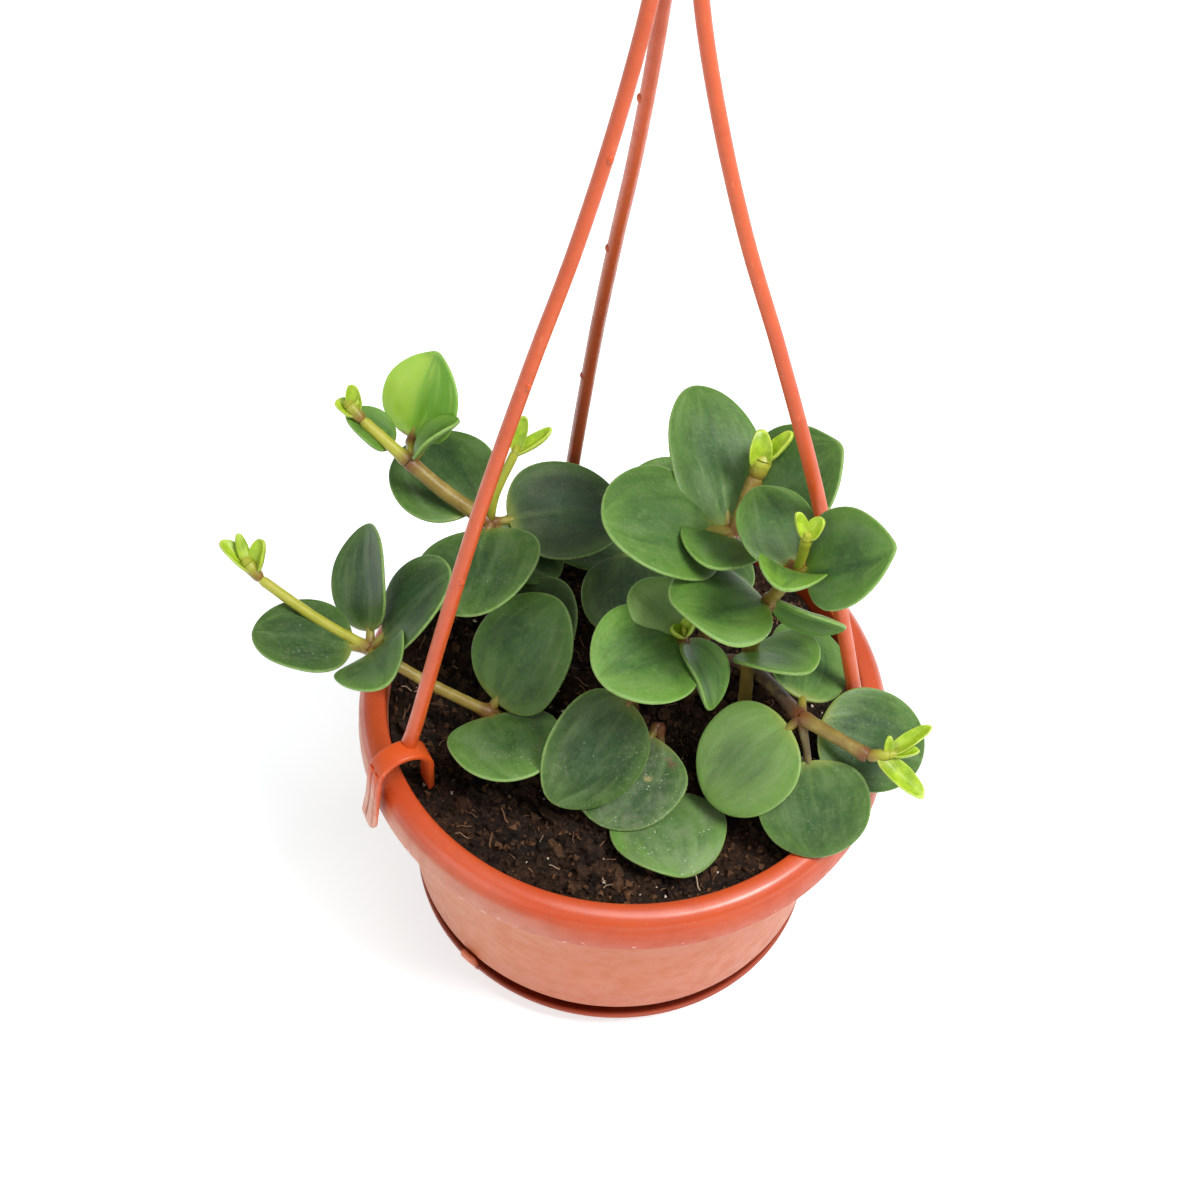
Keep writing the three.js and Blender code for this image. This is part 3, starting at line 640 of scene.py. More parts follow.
def saucer():
    dish = turned("saucer_dish", [
        (0, 0.35), (40.5, 0.35), (41, 0), (43, 0), (44.2, 0.6), (46.8, 3.8), (49.4, 7.1), (49.1, 7.8),
        (48.3, 7.8), (45.9, 4.7), (43.6, 2.1), (42.4, 1.3), (30, 1.3), (29.4, 1.65), (28.6, 1.65),
        (28, 1.3), (0, 1.3)], 144, rounding=0.4)
    lug = slab("lug", [
        (48.1, 5.8), (49.1, 5.8), (50.3, 9), (51.55, 12), (51.7, 13.2), (51.4, 14.1), (50.75, 14.5),
        (50.05, 13.3), (49.6, 11.8)], LUG_WIDTH)
    soft_edges(lug, 0.28, 2, 40)
    lugs = [copy_of(lug, "lug", Matrix.Rotation(radians(a), 4, "Z")) for a in LUG_AZIMUTHS]
    drop(lug)
    finished("saucer_dish", [dish] + lugs, 35, "saucer", saucer_plastic())


def strand_way(azimuth):
    """A strand's way up, by its share of the clip's distance from the hub at each height."""
    reach = [(1, 0), (0.96, 8), (0.84, 37), (0.665, 76), (0.47, 113), (0.31, 141), (0.178, 169),
             (0.084, 195)]
    foot = polar(STRAND_FOOT_RADIUS, azimuth + STRAND_SHIFT, STRAND_FOOT_HEIGHT)
    points = []
    for share, rise in reach:
        spot = HUB.lerp(foot, share)
        points.append(Vector((spot.x, spot.y, foot.z + rise)))
    top = HUB.lerp(foot, 0.05)
    points.append(Vector((top.x, top.y, HUB.z)))
    return smooth_path(points, STRAND_SPACING)


def strand(azimuth):
    """A round moulded strand, thicker at its clip, with three small pips left by the mould."""
    way = strand_way(azimuth)
    last = len(way) - 1
    radii = []
    for index in range(len(way)):
        t = index / last
        foot_flare = exp(-index * STRAND_SPACING / 4.0) * 0.18
        radii.append(STRAND_RADIUS + 0.25 * (1 - t) ** 1.5 + foot_flare)
    parts = [tube("strand", way, radii, 5)]
    for t in (0.25, 0.5, 0.75):
        place = way[round(t * last)] + polar(1.3, azimuth + 90)
        bpy.ops.mesh.primitive_uv_sphere_add(
            segments=16, ring_count=10, radius=0.7 * MM, location=place * MM)
        pip = bpy.context.object
        pip.scale = (1, 1, 1.5)
        settle()
        parts.append(pip)
    return parts


def clip():
    """One clip at azimuth 0: a strap bent over the rim, its outer leg a flared tongue with two ribs."""
    outer, inner = CLIP_MIDDLE + CLIP_ARCH, CLIP_MIDDLE - CLIP_ARCH
    thick = CLIP_THICKNESS
    foot = outer + LEG_FLARE

    def arch(radius, start, turn):
        arcs = [polar(radius, start + turn * step / CLIP_STEPS) for step in range(CLIP_STEPS + 1)]
        return [(CLIP_MIDDLE + arc.x, CLIP_SPRINGING + arc.y) for arc in arcs]

    outline = [(foot - thick, CLIP_LEG_END), (foot, CLIP_LEG_END), (outer + 0.45 * LEG_FLARE, 72)]
    outline += arch(CLIP_ARCH, 0, 180)
    outline += [(inner, 71.9), (inner + thick, 70.6)]
    outline += arch(CLIP_ARCH - thick, 180, -180)
    outline.append((outer + 0.45 * LEG_FLARE - thick, 72))
    strap = slab("clip_strap", outline, CLIP_WIDTH)
    # the two bottom corners of the outer leg are rounded off into a tongue
    edit(strap)
    bpy.ops.mesh.select_mode(type="EDGE")
    bpy.ops.mesh.select_all(action="DESELECT")
    leave_edit()
    for edge in strap.data.edges:
        ends = [strap.data.vertices[v].co / MM for v in edge.vertices]
        level = abs(ends[0].y - ends[1].y) < 0.1
        edge.select = level and all(
            e.z < CLIP_LEG_END + 0.1 and e.x > foot - thick - 0.1 for e in ends)
    edit(strap)
    bpy.ops.mesh.bevel(offset=2.2 * MM, segments=6, affect="EDGES")
    leave_edit()
    soft_edges(strap, 0.4, 3, 40)
    parts = [strap]
    rib_outline = [(foot - 0.5, 64.2), (foot + 0.25, 64.9), (foot + 0.3, 66.5), (outer + 0.9, 73.5),
                   (outer + 0.45, 79), (outer + 0.25, 81.6), (outer - 0.35, 83.6), (outer - 0.8, 82.6),
                   (outer - 0.5, 76), (outer + 0.3, 70)]
    for side in (-1, 1):
        rib = slab("rib", rib_outline, 1.9)
        rib.data.transform(Matrix.Translation(Vector((0, side * 1.2 - 0.15, 0)) * MM))
        soft_edges(rib, 0.35, 3)
        parts.append(rib)
    return joined("clip", parts)


def hub_and_hook():
    hub = turned("hub", [
        (0, 299), (4.6, 299), (6, 300.4), (6, 305.4), (5.2, 306.4), (5.2, 307.6), (6, 308.6), (6, 310.8),
        (4.4, 312), (3, 312.4), (0, 312.4)], 48, rounding=0.5)
    hub.data.transform(Matrix.Translation(Vector((HUB.x, HUB.y, 0)) * MM))
    centre = HUB.z + HOOK_RISE
    points = [(HUB.x, HUB.y, HUB.z + 7), (HUB.x, HUB.y, HUB.z + 11)]
    for angle in (-70, -30, 10, 50, 90, 130, 170, 200):
        arc = polar(HOOK_RADIUS, angle)
        points.append((HUB.x + arc.x, HUB.y, centre + arc.y))
    way = smooth_path(points, 1.2)
    radii = [HOOK_ROD] * len(way)
    radii[-1], radii[-2], radii[-3] = 1.1, 1.8, 2.1
    return [hub, tube("hook", way, radii, 6)]


def hanger():
    parts = hub_and_hook()
    model = clip()
    for azimuth in HANGER_AZIMUTHS:
        parts += strand(azimuth)
        parts.append(copy_of(model, "clip", Matrix.Rotation(radians(azimuth), 4, "Z")))
    drop(model)
    finished("hanger_moulding", parts, 35, "hanger", hanger_plastic())


# Soil

def soil_height(x, y):
    """Lumpy peat, a little crowned, that drops away where it meets the pot's wall."""
    radius = hypot(x, y)
    crown = SOIL_CROWN * max(0.0, 1 - (radius / 54) ** 2)
    spot = Vector((x, y, 3.7))
    broad = noise.noise(spot * 0.09) * 1.5
    lumps = noise.noise(spot * 0.27 + Vector((7, 0, 0))) * 1.5
    crumb = abs(noise.noise(spot * 0.55)) * 2.4 - 0.8
    grain = noise.noise(spot * 1.3) * 0.8
    rough = (broad + lumps + crumb + grain) * (0.55 + 0.45 * min(1, (56 - radius) / 9))
    # the front leaf rests in a shallow hollow
    bed = exp(-(hypot(x - FRONT_LEAF_BED[0], y - FRONT_LEAF_BED[1]) / 14.5) ** 6)
    return SOIL_LEVEL + crown + rough * (1 - 0.8 * bed) - 1.4 * bed


def soil_body():
    rings = [(0, SOIL_FLOOR), (20, SOIL_FLOOR), (47.9, SOIL_FLOOR), (51.4, 40.0), (55.3, 67.5)]
    rings += [(55.1 - step * 0.85, SOIL_LEVEL) for step in range(64)] + [(0, SOIL_LEVEL)]
    body = turned("soil_body", rings, 168)
    for vertex in body.data.vertices:
        place = vertex.co / MM
        if place.z > 68.5:
            vertex.co.z = soil_height(place.x, place.y) * MM
    smooth_look(body, 60)
    return body


def scattered(name, models, count, draw, chance):
    """Copies of a few small models, turned and sized at random, laid on the soil as one piece."""
    corners, faces, tones = [], [], []
    for _ in range(count):
        model = chance.choice(models)
        size, place, turn, tone = draw(chance)
        start = len(corners)
        matrix = Matrix.Translation(place) @ turn.to_4x4() @ Matrix.Diagonal((*size, 1))
        corners += [tuple(matrix @ v.co * MM) for v in model.data.vertices]
        faces += [tuple(start + v for v in face.vertices) for face in model.data.polygons]
        tones += [tone] * len(model.data.vertices)
    mesh = bpy.data.meshes.new(name)
    mesh.from_pydata(corners, [], faces)
    held = mesh.attributes.new("bit", "FLOAT_COLOR", "POINT")
    held.data.foreach_set("color", [v for tone in tones for v in (tone, tone, tone, 1.0)])
    for model in models:
        drop(model)
    return placed(name, mesh)


def crumb_models(count, subdivisions, roughness):
    models = []
    for seed in range(count):
        bpy.ops.mesh.primitive_ico_sphere_add(subdivisions=subdivisions, radius=1)
        edit(bpy.context.object)
        bpy.ops.transform.vertex_random(offset=roughness, uniform=0.7, normal=0.4, seed=seed + 3)
        leave_edit()
        models.append(bpy.context.object)
    return models


def any_turn(chance):
    axis = Vector([chance.gauss(0, 1) for _ in range(3)]).normalized()
    return Matrix.Rotation(chance.uniform(0, 2 * pi), 3, axis)


def spread(chance, reach=54.2):
    radius = reach * sqrt(chance.random())
    azimuth = chance.uniform(0, 360)
    spot = polar(radius, azimuth)
    return Vector((spot.x, spot.y, soil_height(spot.x, spot.y)))


def soil():
    chance = random.Random(11)
    body = soil_body()
    finish = peat()
    seat(body, ["soil"], finish)

    def fine_crumb(chance):
        grain = min(1.3, 0.4 * exp(chance.gauss(0, 0.45)))
        size = Vector((grain * chance.uniform(0.8, 1.5), grain, grain * chance.uniform(0.6, 1)))
        place = spread(chance)
        place.z += grain * 0.45
        return size, place, any_turn(chance), chance.random() ** 2.6

    def coarse_crumb(chance):
        grain = chance.uniform(1.0, 2.1)
        size = Vector((grain * chance.uniform(0.9, 1.7), grain, grain * chance.uniform(0.45, 0.8)))
        place = spread(chance, 52)
        place.z += grain * 0.2
        return size, place, any_turn(chance), chance.random() ** 2 * 0.5

    def white_grain(chance):
        grain = min(0.28 * exp(chance.gauss(0, 0.5)), 1.0)
        place = spread(chance, 53)
        place.z += grain * 0.6 + 0.15
        return Vector((grain * 1.3, grain, grain)), place, any_turn(chance), 1.0

    def fibre(chance):
        length = chance.uniform(1.4, 4.2)
        place = spread(chance, 52)
        place.z += 0.75
        tilt = Matrix.Rotation(chance.uniform(-0.35, 0.35), 3, "Y")
        turn = Matrix.Rotation(chance.uniform(0, 2 * pi), 3, "Z") @ tilt
        thick = chance.uniform(0.06, 0.12)
        return Vector((length, length, thick * 12)), place, turn, chance.random()

    fine = scattered("peat_crumbs", crumb_models(8, 1, 0.45), CRUMBS, fine_crumb, chance)
    coarse = scattered("peat_lumps", crumb_models(7, 2, 0.34), LUMPS, coarse_crumb, chance)
    grains = scattered("perlite_grains", crumb_models(4, 1, 0.35), GRAINS, white_grain, chance)
    bent = []
    for index in range(6):
        sway = [(-0.5, 0, 0), (-0.2, 0.05 * (index % 3), 0.02), (0.2, -0.04 * (index % 2), 0.03),
                (0.5, 0.04 * (index - 2), 0)]
        way = smooth_path(sway, 0.17)
        hair = tube("hair", way, [0.035] * len(way), 0)
        hair.data.transform(Matrix.Scale(1 / MM, 4))
        bent.append(hair)
    hairs = scattered("root_fibres", bent, FIBRES, fibre, chance)
    for piece, skin in ((fine, finish), (coarse, finish), (grains, perlite()), (hairs, dry_fibre())):
        seat(piece, [], skin)


# Shoots and leaves

def leaf_frame(heading, rise, roll):
    along = polar(cos(radians(rise)), heading, sin(radians(rise)))
    level = polar(1, heading + 90)
    over = along.cross(level)
    tilt = radians(roll)
    across = level * cos(tilt) + over * sin(tilt)
    return along, across, along.cross(across)


def blade_blank(name, steps, radii):
    """A flat unit leaf: a round blank with a rounded edge, from which every blade is bent."""
    top = [(radius, 1.0) for radius in radii]
    edge = [(0.955, 0.97), (0.98, 0.82), (0.994, 0.5), (1.0, 0.0)]
    under = [(radius, -height) for radius, height in reversed(top + edge[:-1])]
    outline = [(r * 1000, h * 1000) for r, h in top + edge + under]
    return turned(name, outline, steps)


BLANKS = {}


def hold(piece, blade, growth):
    """Writes what the finishes read at each vertex of a leafy part."""
    mesh = piece.data
    for name, values in (("blade", blade), ("growth", growth)):
        held = mesh.attributes.new(name, "FLOAT_COLOR", "POINT")
        held.data.foreach_set("color", [number for four in values for number in four])


def blade(kind, start, heading, rise, roll, length, width, age, seed, dust=0.0, arch=0.8, cup=1.2,
          point=0.12, wave=0.0, nib=0.0, half=BLADE_HALF, vein=0.07, ragged=0.02, pale=0.0):
    """One leaf blade, bent from the blank: arched along, cupped across, with an uneven edge."""
    along, across, up = leaf_frame(heading, rise, roll)
    piece = copy_of(BLANKS[kind], "blade")
    mesh = piece.data
    blades, growths, spots = [], [], []
    shift = Vector((seed * 3.1, seed * 1.7, seed * 0.9))
    for vertex in mesh.vertices:
        tipward, sideways, lift = vertex.co
        rim = min(1.0, hypot(tipward, sideways))
        turn = atan2(sideways, tipward)
        upper = 1.0 if lift > 0.01 else 0.5 if lift > -0.01 else 0.0
        narrow = sqrt(max(1e-6, 1 - min(0.9999, tipward * tipward)))
        lane = max(-1.0, min(1.0, sideways / narrow))
        spots.append((tipward * 0.5 + 0.5, lane * 0.5 + 0.5))
        round_spot = Vector((cos(turn) * 1.6, sin(turn) * 1.6, 0))
        swell = 1 + ragged * rim * rim * noise.noise(round_spot + shift)
        swell += FULLNESS * sin(2 * turn) ** 2
        x = length / 2 * (1 + tipward * swell) + nib * max(0.0, tipward) ** 16
        y = width / 2 * sideways * swell * (1 - 0.12 * tipward) * (1 - point * max(0.0, tipward) ** 3)
        z = arch * (1 - tipward ** 2) + cup * sideways ** 2 + wave * rim ** 3 * sin(3 * turn)
        thick = EDGE_HALF + (half - EDGE_HALF) * (1 - rim ** 3)
        z += lift * min(thick, half)
        fade = 1 - rim ** 4
        z += 0.32 * fade * noise.noise(Vector((x, y, 0)) * 0.13 + shift)
        z += 0.1 * fade * noise.noise(Vector((x * 0.2, y * 0.75, 0)) + shift * 2)
        if upper == 1.0:
            side_groove = exp(-((abs(lane) - 0.42) / 0.08) ** 2)
            groove = exp(-(sideways / 0.07) ** 2) + 0.5 * side_groove
            z -= vein * fade * groove * (1 - 0.5 * (tipward * 0.5 + 0.5))
        blades.append((rim, upper, age, (seed * 0.137) % 1.0))
        growths.append((0.0, 0.0, dust, pale))
        vertex.co = (start + along * x + across * y + up * z) * MM
    hold(piece, blades, growths)
    layer = mesh.uv_layers.new(name="leaf_map")
    for loop in mesh.loops:
        layer.data[loop.index].uv = spots[loop.vertex_index]
    return piece


def nearness(place, nodes, reach):
    """1 at a node, falling away from it over that reach (mm)."""
    return max([exp(-((place - Vector(node)).length / reach) ** 2) for node in nodes], default=0.0)


def stem_tube(points, age, nodes, start_radius, end_radius, seed, green=0.0,
              node_radius=NODE_RADIUS, spacing=1.1):
    """A round stem that swells and turns red-brown at its nodes."""
    way = smooth_path(points, spacing)
    last = len(way) - 1
    radii = []
    for index, place in enumerate(way):
        t = index / last
        radius = start_radius + (end_radius - start_radius) * t
        near = nearness(place, nodes, 1.7)
        radius += (node_radius - radius) * near if node_radius > radius else 0.0
        radii.append(radius * (1 + STEM_WOBBLE * noise.noise(place * 0.5 + Vector((seed, 0, 0)))))
    radii[0] *= 0.8
    radii[-1] *= 0.8
    piece = tube("stem", way, radii, 4)
    blades, growths = [], []
    for vertex in piece.data.vertices:
        place = vertex.co / MM
        blades.append((0.0, 1.0, age, 0.0))
        growths.append((1.0, nearness(place, nodes, 3.2), 0.0, green))
    hold(piece, blades, growths)
    piece.data.uv_layers.new(name="leaf_map")
    return piece


def leaf(node, heading, rise, roll, length, width, stalk, age, seed, **shape):
    """A blade on its stalk, which leaves the stem's node and runs under the blade's heel."""
    along, _, up = leaf_frame(heading, rise, roll)
    node = Vector(node)
    start = node + along * stalk
    arch = shape.get("arch", 0.8)
    footing = start + along * (0.22 * length) + up * (0.55 * arch - 0.35)
    mid = start + along * (0.06 * length) - up * 0.25
    leafstalk = stem_tube([node, node.lerp(start, 0.6) - up * 0.1, start - up * 0.15, mid, footing],
                          shape.pop("stalk_age", 0.35), nodes=[node],
                          start_radius=shape.pop("stalk_radius", 1.15),
                          end_radius=0.7, green=0.35, node_radius=1.4, spacing=0.8, seed=seed)
    return [blade("leaf", start, heading, rise, roll, length, width, age, seed, **shape), leafstalk]


def shoot(name, stems, leaves, number):
    """One rooted shoot: stems, nodes, stalks and blades, joined and given the plant's skins."""
    blades, stalks = [], []
    for points, nodes, age, ends in stems:
        stalks.append(stem_tube(points, age, nodes, *ends, seed=number))
    for index, (*row, dust, shape) in enumerate(leaves):
        face, leafstalk = leaf(*row, number * 7 + index + 1, dust=dust, **shape)
        blades.append(face)
        stalks.append(leafstalk)
    paint(blades, SKINS["leaf"])
    paint(stalks, SKINS["stem"])
    finished(name + "_growth", blades + stalks, 60, name)


def root_end(x, y):
    return [(x, y, 66.5), (x, y, 69), (x, y, 72)]


SKINS = {}
LEFT_END = (-85, 7.5, 99)
LEFT_FORK = (-59, -4, 91)
LEFT_LOW = (-31, -11.5, 80)
REAR_LEFT_FORK = (-34, 23.5, 106)
REAR_LEFT_HIGH = (-53.5, 31.5, 116)
REAR_LEFT_END = (-64.5, 37.5, 122)
REAR_LEFT_UNDER = (-53.5, 33.0, 114.0)
CENTRE_LOW = (1.5, -13, 93)
CENTRE_CROWN = (11.5, -11.7, 114)
REAR_RIGHT_FORK = (20, 6, 130)
REAR_RIGHT_END = (24.2, 13.6, 141)
TALL_LOW = (26.8, -5.8, 103.7)
TALL_FORK = (28.5, -11.5, 130)
TALL_CROWN = (32.4, -16.2, 147)
LOW_FORK = (39, -18.8, 98)
LOW_END = (53.8, -27.8, 98)
FRONT_LOW, FRONT_HIGH = (9, -17, 71.6), (7.8, -11.5, 80)
BACK_LOW = (3, 35, 84)

# Each row: name, stems (points, nodes, age, radii) and leaves (node, heading, rise, roll, length,
# width, stalk, age, dust, shape)
SHOOTS = [
    ("shoot_left", [
        (root_end(-27, -8) + [LEFT_LOW, (-45, -7.5, 84), LEFT_FORK], [LEFT_LOW, LEFT_FORK], 0.45,
         (1.45, 1.25)),
        ([LEFT_FORK, (-72, 1.5, 94), LEFT_END], [LEFT_FORK], 0.1, (1.3, 1.2))], [
        (LEFT_LOW, 48, 48, 0, 29, 25.5, 3, 0.6, 0.15, {}),
        # painted shade: this blade's age past 0.95 darkens it, as it lies in the shade under others
        (LEFT_LOW, 60, 33.5, -5, 26, 22, 8.5, 1.05, 0.2, {}),
        (LEFT_LOW, -68, 18, 0, 24.2, 25.6, 1.5, 0.52, 0.45, {"point": -0.1}),
        (LEFT_FORK, 96, 32, -55, 25, 21.5, 4, 0.73, 0.1, {"point": 0.35, "cup": 2.5}),
        (LEFT_FORK, 179, 5, 6, 23, 21.5, 4, 0.72, 0.3, {}),
        (LEFT_FORK, -72, 32, 26, 20, 18.5, 2.5, 0.48, 0.15, {"cup": 3}),
        (LEFT_FORK, 20, 50, -9, 25, 22, 5, 0.8, 0.1, {})]),
    ("shoot_rear_left", [
        (root_end(-27, 17) + [(-30, 19, 88), REAR_LEFT_FORK], [REAR_LEFT_FORK], 0.75, (1.7, 1.6)),
        ([REAR_LEFT_FORK, (-44, 27.5, 110), REAR_LEFT_HIGH], [REAR_LEFT_FORK, REAR_LEFT_HIGH], 0.5,
         (1.9, 1.75)),
        ([REAR_LEFT_HIGH, (-59, 34.5, 119), REAR_LEFT_END], [REAR_LEFT_HIGH], 0.12, (1.5, 1.35))], [
        # painted shade: this blade's age past 0.95 darkens it, as it lies in the shade under others
        (REAR_LEFT_FORK, 22, -10, 13, 28.5, 25.5, 4.5, 1.02, 0.15, {}),
        (REAR_LEFT_FORK, -95, 0, 20, 25.5, 29.5, 2, 0.66, 0.3, {}),
        (REAR_LEFT_FORK, -20, -29, 4, 19, 17, 1.5, 0.75, 0.1, {"arch": -0.6}),
        (REAR_LEFT_FORK, 134, -2, -9, 26, 25, 5, 0.65, 0.15, {}),
        (REAR_LEFT_HIGH, 22, 40, -28, 14.5, 9.5, 1.5, 0.15, 0, {"cup": 1.8}),
        (REAR_LEFT_UNDER, 153, 23, 10, 13, 10.5, 5.2, 0.25, 0, {})]),
    ("shoot_centre", [
        (root_end(2, -3) + [(1.5, -8, 82), CENTRE_LOW], [CENTRE_LOW], 0.7, (1.6, 1.5)),
        ([CENTRE_LOW, (7, -12.5, 103), CENTRE_CROWN], [CENTRE_LOW, CENTRE_CROWN], 0.35, (1.5, 1.4))], [
        (CENTRE_LOW, -127, -24.5, -54, 28.8, 26.8, 1.3, 0.8, 0.3, {}),
        (CENTRE_LOW, 96, -4, 0, 25, 21, 17, 0.8, 0.1, {}),
        (CENTRE_CROWN, -137, 16, -15, 25, 24.5, 1, 0.32, 0.15, {}),
        # painted light: this blade is painted paler to lift it out of the shade of the blade above
        (CENTRE_CROWN, 147, 30, -9, 15.5, 15, 1, 0.0, 0, {"pale": 0.8}),
        (CENTRE_CROWN, -57, -36, -40, 16.5, 16, 0, 0.4, 0, {"cup": 3})]),
    ("shoot_rear_right", [
        (root_end(17, 14) + [(18.5, 11, 100), REAR_RIGHT_FORK], [REAR_RIGHT_FORK], 0.75, (1.6, 1.6)),
        ([REAR_RIGHT_FORK, REAR_RIGHT_END], [REAR_RIGHT_FORK], 0.6, (1.2, 2.0))], [
        (REAR_RIGHT_FORK, 201, 27, -11, 30, 28, 4.2, 0.5, 0.15, {"stalk_radius": 2.1}),
        (REAR_RIGHT_FORK, 108, 24, 16, 33.2, 23.5, 1.3, 0.6, 0.1, {"stalk_radius": 1.9}),
        (REAR_RIGHT_FORK, 18, 47, 4, 25, 27.5, 7, 0.62, 0.1, {"point": 0.25, "nib": 1.0}),
        (REAR_RIGHT_FORK, -104, 30, 0, 19, 19, 2.5, 0.45, 0, {"cup": 1.8})]),
    ("shoot_tall", [
        (root_end(28, -1) + [(27, -4.5, 96), TALL_LOW, TALL_FORK], [TALL_LOW, TALL_FORK], 0.6,
         (1.6, 1.5)),
        ([TALL_FORK, TALL_CROWN], [TALL_FORK, TALL_CROWN], 0.5, (1.5, 1.4))], [
        (TALL_LOW, -38, 26, -14, 19.3, 19, -0.8, 0.3, 0.1, {"cup": 2.2}),
        (TALL_FORK, 200, 16, 8, 22, 25, 1, 0.3, 0.05, {"wave": 0.9, "cup": -0.9}),
        (TALL_FORK, -14, -6, 108, 17, 13, 0.5, 0.4, 0, {"point": 0.4}),
        (TALL_CROWN, 115, 10, -9, 18.8, 16.2, 2, 0.61, 0, {"cup": 1.8, "nib": 0.5}),
        (TALL_CROWN, -21, 45, 37, 24, 21, 3.1, 0.45, 0, {"point": 0.35, "nib": 0.8}),
        (TALL_CROWN, -106, 38, 0, 16, 14.5, 1, 0.1, 0, {"cup": 2.5})]),
    ("shoot_low", [
        (root_end(15, 4) + [(19, 6, 80), (27.5, 1.5, 88), LOW_FORK], [LOW_FORK], 0.95, (1.6, 1.6)),
        ([LOW_FORK, (47, -24, 98.5), LOW_END], [LOW_FORK, LOW_END], 0.62, (1.6, 1.5))], [
        (LOW_FORK, -153, -44, -11, 26.5, 25.5, 3.5, 0.25, 0.15, {"pale": 0.3}),
        (LOW_FORK, -71, -44, 18, 22.5, 25, 10, 0.68, 0.2, {"stalk_age": 1.0}),
        (LOW_FORK, 0, -25, 34, 27, 23, 5, 0.68, 0.15, {}),
        (LOW_FORK, 87, -4, 20, 22.5, 19.5, 5, 0.5, 0.1, {})]),
    ("shoot_front", [(root_end(9, -17) + [FRONT_HIGH], [FRONT_LOW, FRONT_HIGH], 0.8, (1.6, 1.4))], [
        (FRONT_LOW, -81, 1.5, -3, 24, 26.7, 6.5, 0.36, 0.8, {"wave": -1.2, "cup": -0.5, "pale": 0.08}),
        (FRONT_HIGH, -116, -14.5, -4, 24.5, 27, 3, 0.75, 1.0, {})]),
    ("shoot_back", [(root_end(3, 33) + [BACK_LOW], [BACK_LOW], 0.8, (1.6, 1.5))], [
        (BACK_LOW, 75, 12, 0, 24, 22, 3, 0.6, 0.3, {}),
        (BACK_LOW, 170, 2, 0, 22, 21, 4, 0.7, 0.3, {}),
        (BACK_LOW, -20, 4, 0, 23, 21, 4, 0.75, 0.2, {})])]


def growing_tip(name, start, way, lobes, radii, seed):
    """A pale soft tip: its short stem and a pair or two of leaves that are still opening."""
    start = Vector(start)
    end = Vector(way[-1])
    stem = stem_tube([start] + way, 0.0, [start], radii[0], radii[1], node_radius=radii[0], seed=seed,
                     spacing=0.8)
    onward = (end - start).normalized()
    bud = stem_tube([end, end + onward * 0.5, end + onward * 1.6], 0.0, [], radii[1], radii[1] * 0.6,
                    seed=seed, spacing=0.6)
    parts = [stem, bud]
    for index, (where, *row, shape) in enumerate(lobes):
        settings = {"arch": -0.7, "cup": 1.0, "point": -0.12, "half": 0.75, "vein": 0.14,
                    "ragged": 0.08, **shape}
        parts.append(blade("lobe", start.lerp(end, where), *row, 0.1, seed * 5 + index, **settings))
    paint(parts, SKINS["tip"])
    finished(name + "_growth", parts, 60, name)


# Each row: name, start, stem, lobes (where along the stem, heading, rise, roll, length, width,
# shape) and the stem's radii
TIPS = [
    ("tip_left", LEFT_END, [(-86.6, 8.6, 100.3), (-88.2, 9.6, 101.8)], [
        (0.45, 150, 25, 10, 10.6, 4.6, {"cup": 1.5}), (0.45, 72, 55, -25, 8.2, 4.6, {"cup": 1.6}),
        (1, 118, 42, 0, 7.2, 2.9, {"half": 1.1, "cup": 0.2})], (1.2, 1.8)),
    ("tip_rear_left", REAR_LEFT_END, [(-66.2, 38.7, 123.3), (-67.6, 39.8, 124.4)], [
        (0.35, 155, 15, 0, 6.2, 4.2, {"cup": 1.3}), (0.45, 112, 52, -20, 7.0, 3.6, {"cup": 1.4}),
        (1, 10, 40, 0, 2.6, 2.2, {})], (1.35, 1.75)),
    ("tip_rear_left_inner", REAR_LEFT_FORK, [(-33, 25.2, 114), (-29, 30, 124)], [
        (0.97, 68, 60, 20, 9.4, 3.4, {"cup": 1.2, "arch": -1.3}),
        (0.97, 25, 30, -10, 10.2, 3.6, {"cup": 1.2, "arch": -0.9})], (1.0, 1.1)),
    ("tip_centre", CENTRE_CROWN, [(11.3, -11.6, 116.6)], [
        (0.7, 50, 58, -20, 4.8, 3.7, {"cup": 1.3}), (0.7, 190, 42, 0, 4.1, 3.4, {"cup": 1.2})],
        (0.9, 0.9)),
    ("tip_rear_right", REAR_RIGHT_END, [(24.9, 15, 143.6), (25.3, 15.5, 145)], [
        (0.4, 93, 60, 0, 9.2, 5.0, {"cup": 1.4, "arch": 0.9, "half": 0.9}),
        (0.8, 32, 42, -10, 9.4, 3.9, {"cup": 1.1, "half": 0.9}),
        (1, 62, 60, 0, 4.4, 2.2, {"half": 0.9})], (2.0, 2.3)),
    ("tip_tall", TALL_CROWN, [(33.2, -16.4, 152.5), (33.5, -16.4, 158.5)], [
        (0.97, 125, 50, 0, 6.2, 2.7, {"half": 0.9}),
        (0.97, 45, 45, 0, 5.7, 3.7, {"cup": 1.1, "half": 0.85})], (0.95, 1.25)),
    ("tip_low", LOW_END, [(58.5, -28, 99.5)], [
        (0.9, 30, 25, 0, 11.5, 3.6, {"cup": 1.1}), (0.5, -38, -13, 10, 13.5, 5.0, {"cup": 1.3}),
        (0.9, 90, 60, 0, 4.5, 2.1, {}), (1, 5, 15, 0, 6.5, 2.5, {})], (1.4, 1.3))]


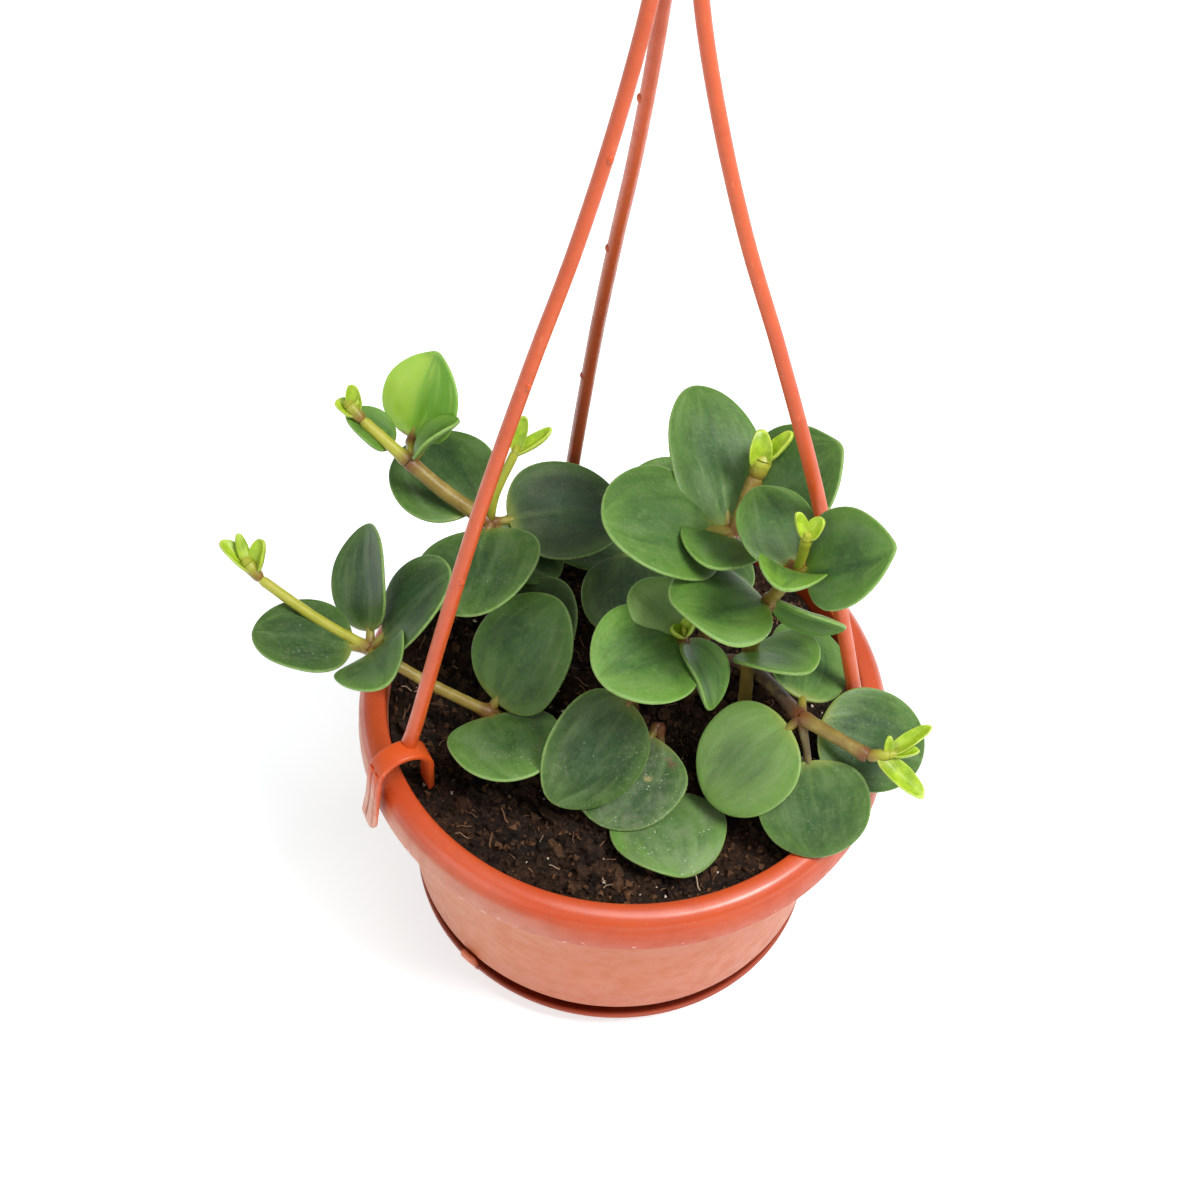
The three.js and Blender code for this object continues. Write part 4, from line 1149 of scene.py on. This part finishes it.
def young_leaf():
    """The one bright new leaf, folded a little along its middle."""
    base = Vector(REAR_LEFT_HIGH) + Vector((-0.1, 7.9, -2.3))
    along, _, up = leaf_frame(65, 57, -6)
    start = base + along * 0.6
    stalk = stem_tube([Vector(REAR_LEFT_HIGH) + Vector((0, 1.6, -0.2)), base, start,
                       start + along * 4 + up * 0.2], 0.3, [base], 1.2, 0.7, green=0.2, node_radius=1.5,
                      spacing=0.7, seed=9)
    face = blade("leaf", start, 65, 57, -6, 21.2, 20, 0.0, 61, cup=0.9, point=0.25, vein=0.3, half=0.75,
                 nib=0.8)
    paint([face], young_leaf_skin())
    paint([stalk], SKINS["stem"])
    finished("young_leaf_growth", [face, stalk], 60, "young_leaf")


def plant():
    BLANKS["leaf"] = blade_blank("leaf_blank", 56, [
        0, 0.1, 0.2, 0.3, 0.4, 0.5, 0.6, 0.69, 0.77, 0.84, 0.9])
    BLANKS["lobe"] = blade_blank("lobe_blank", 24, [0, 0.25, 0.5, 0.72, 0.88])
    SKINS.update(leaf=leaf_skin(), stem=stem_skin(), tip=tip_skin())
    for number, row in enumerate(SHOOTS, 1):
        shoot(*row, number)
    for number, row in enumerate(TIPS, 1):
        growing_tip(*row, number)
    young_leaf()
    for blank in BLANKS.values():
        drop(blank)


# Studio

def floor():
    bpy.ops.mesh.primitive_grid_add(x_subdivisions=8, y_subdivisions=8, size=6, location=(0, 0, 0))
    ground = bpy.context.object
    ground.name = "studio_floor"
    f = Finish("pale_floor", 218, 223, 225)
    soft = f.cloud(3, 2)
    f.tint(soft, 223, 228, 229)
    f.wear(rough=f.band(soft, 0.0, 1.0, 0.7, 0.8), shine=0.2)
    f.shader.inputs["Emission Color"].default_value = (0.95, 1, 1, 1)
    f.shader.inputs["Emission Strength"].default_value = 0.57
    ground.data.materials.append(f.material)


def soft_light(name, place, size, power, colour):
    lamp = bpy.data.lights.new(name, "AREA")
    lamp.shape = "DISK"
    lamp.size = size
    lamp.energy = power
    lamp.color = colour
    holder = placed(name, lamp)
    holder.location = place
    aim = Vector((0, 0, 0.09)) - Vector(place)
    holder.rotation_euler = aim.to_track_quat("-Z", "Y").to_euler()
    holder.visible_camera = False


def lights():
    world = bpy.data.worlds.new("studio_air")
    world.use_nodes = True
    air = world.node_tree.nodes["Background"].inputs
    air["Color"].default_value = (1.0, 1.0, 1.0, 1)
    air["Strength"].default_value = 0.36
    bpy.context.scene.world = world
    bpy.context.scene.view_settings.view_transform = "Standard"
    soft_light("key_light", (0.5, -0.25, 1.0), 0.42, 12.5, (1.0, 0.99, 0.975))
    soft_light("top_light", (0.05, -0.1, 1.2), 0.5, 3.2, (1.0, 0.99, 0.98))
    soft_light("fill_light", (-0.8, -0.7, 0.7), 1.0, 3.5, (0.97, 0.985, 1.0))


def camera():
    """The photograph's view: its place, its three axes and the size of its lens."""
    lens = bpy.data.cameras.new("view_camera")
    lens.sensor_width = 36.0
    lens.lens = 75.36
    lens.clip_start = 0.01
    holder = placed("view_camera", lens)
    right, up = Vector((0.997289, 0.058923, 0.04408)), Vector((-0.073586, 0.79856, 0.5974))
    back = Vector((0.0, -0.599024, 0.800731))
    turn = Matrix((right, up, back)).transposed().to_4x4()
    holder.matrix_world = Matrix.Translation(Vector((-7.5096, -335.0994, 558.6286)) * MM) @ turn
    bpy.context.scene.camera = holder


camera()
pot()
saucer()
hanger()
soil()
plant()
floor()
lights()
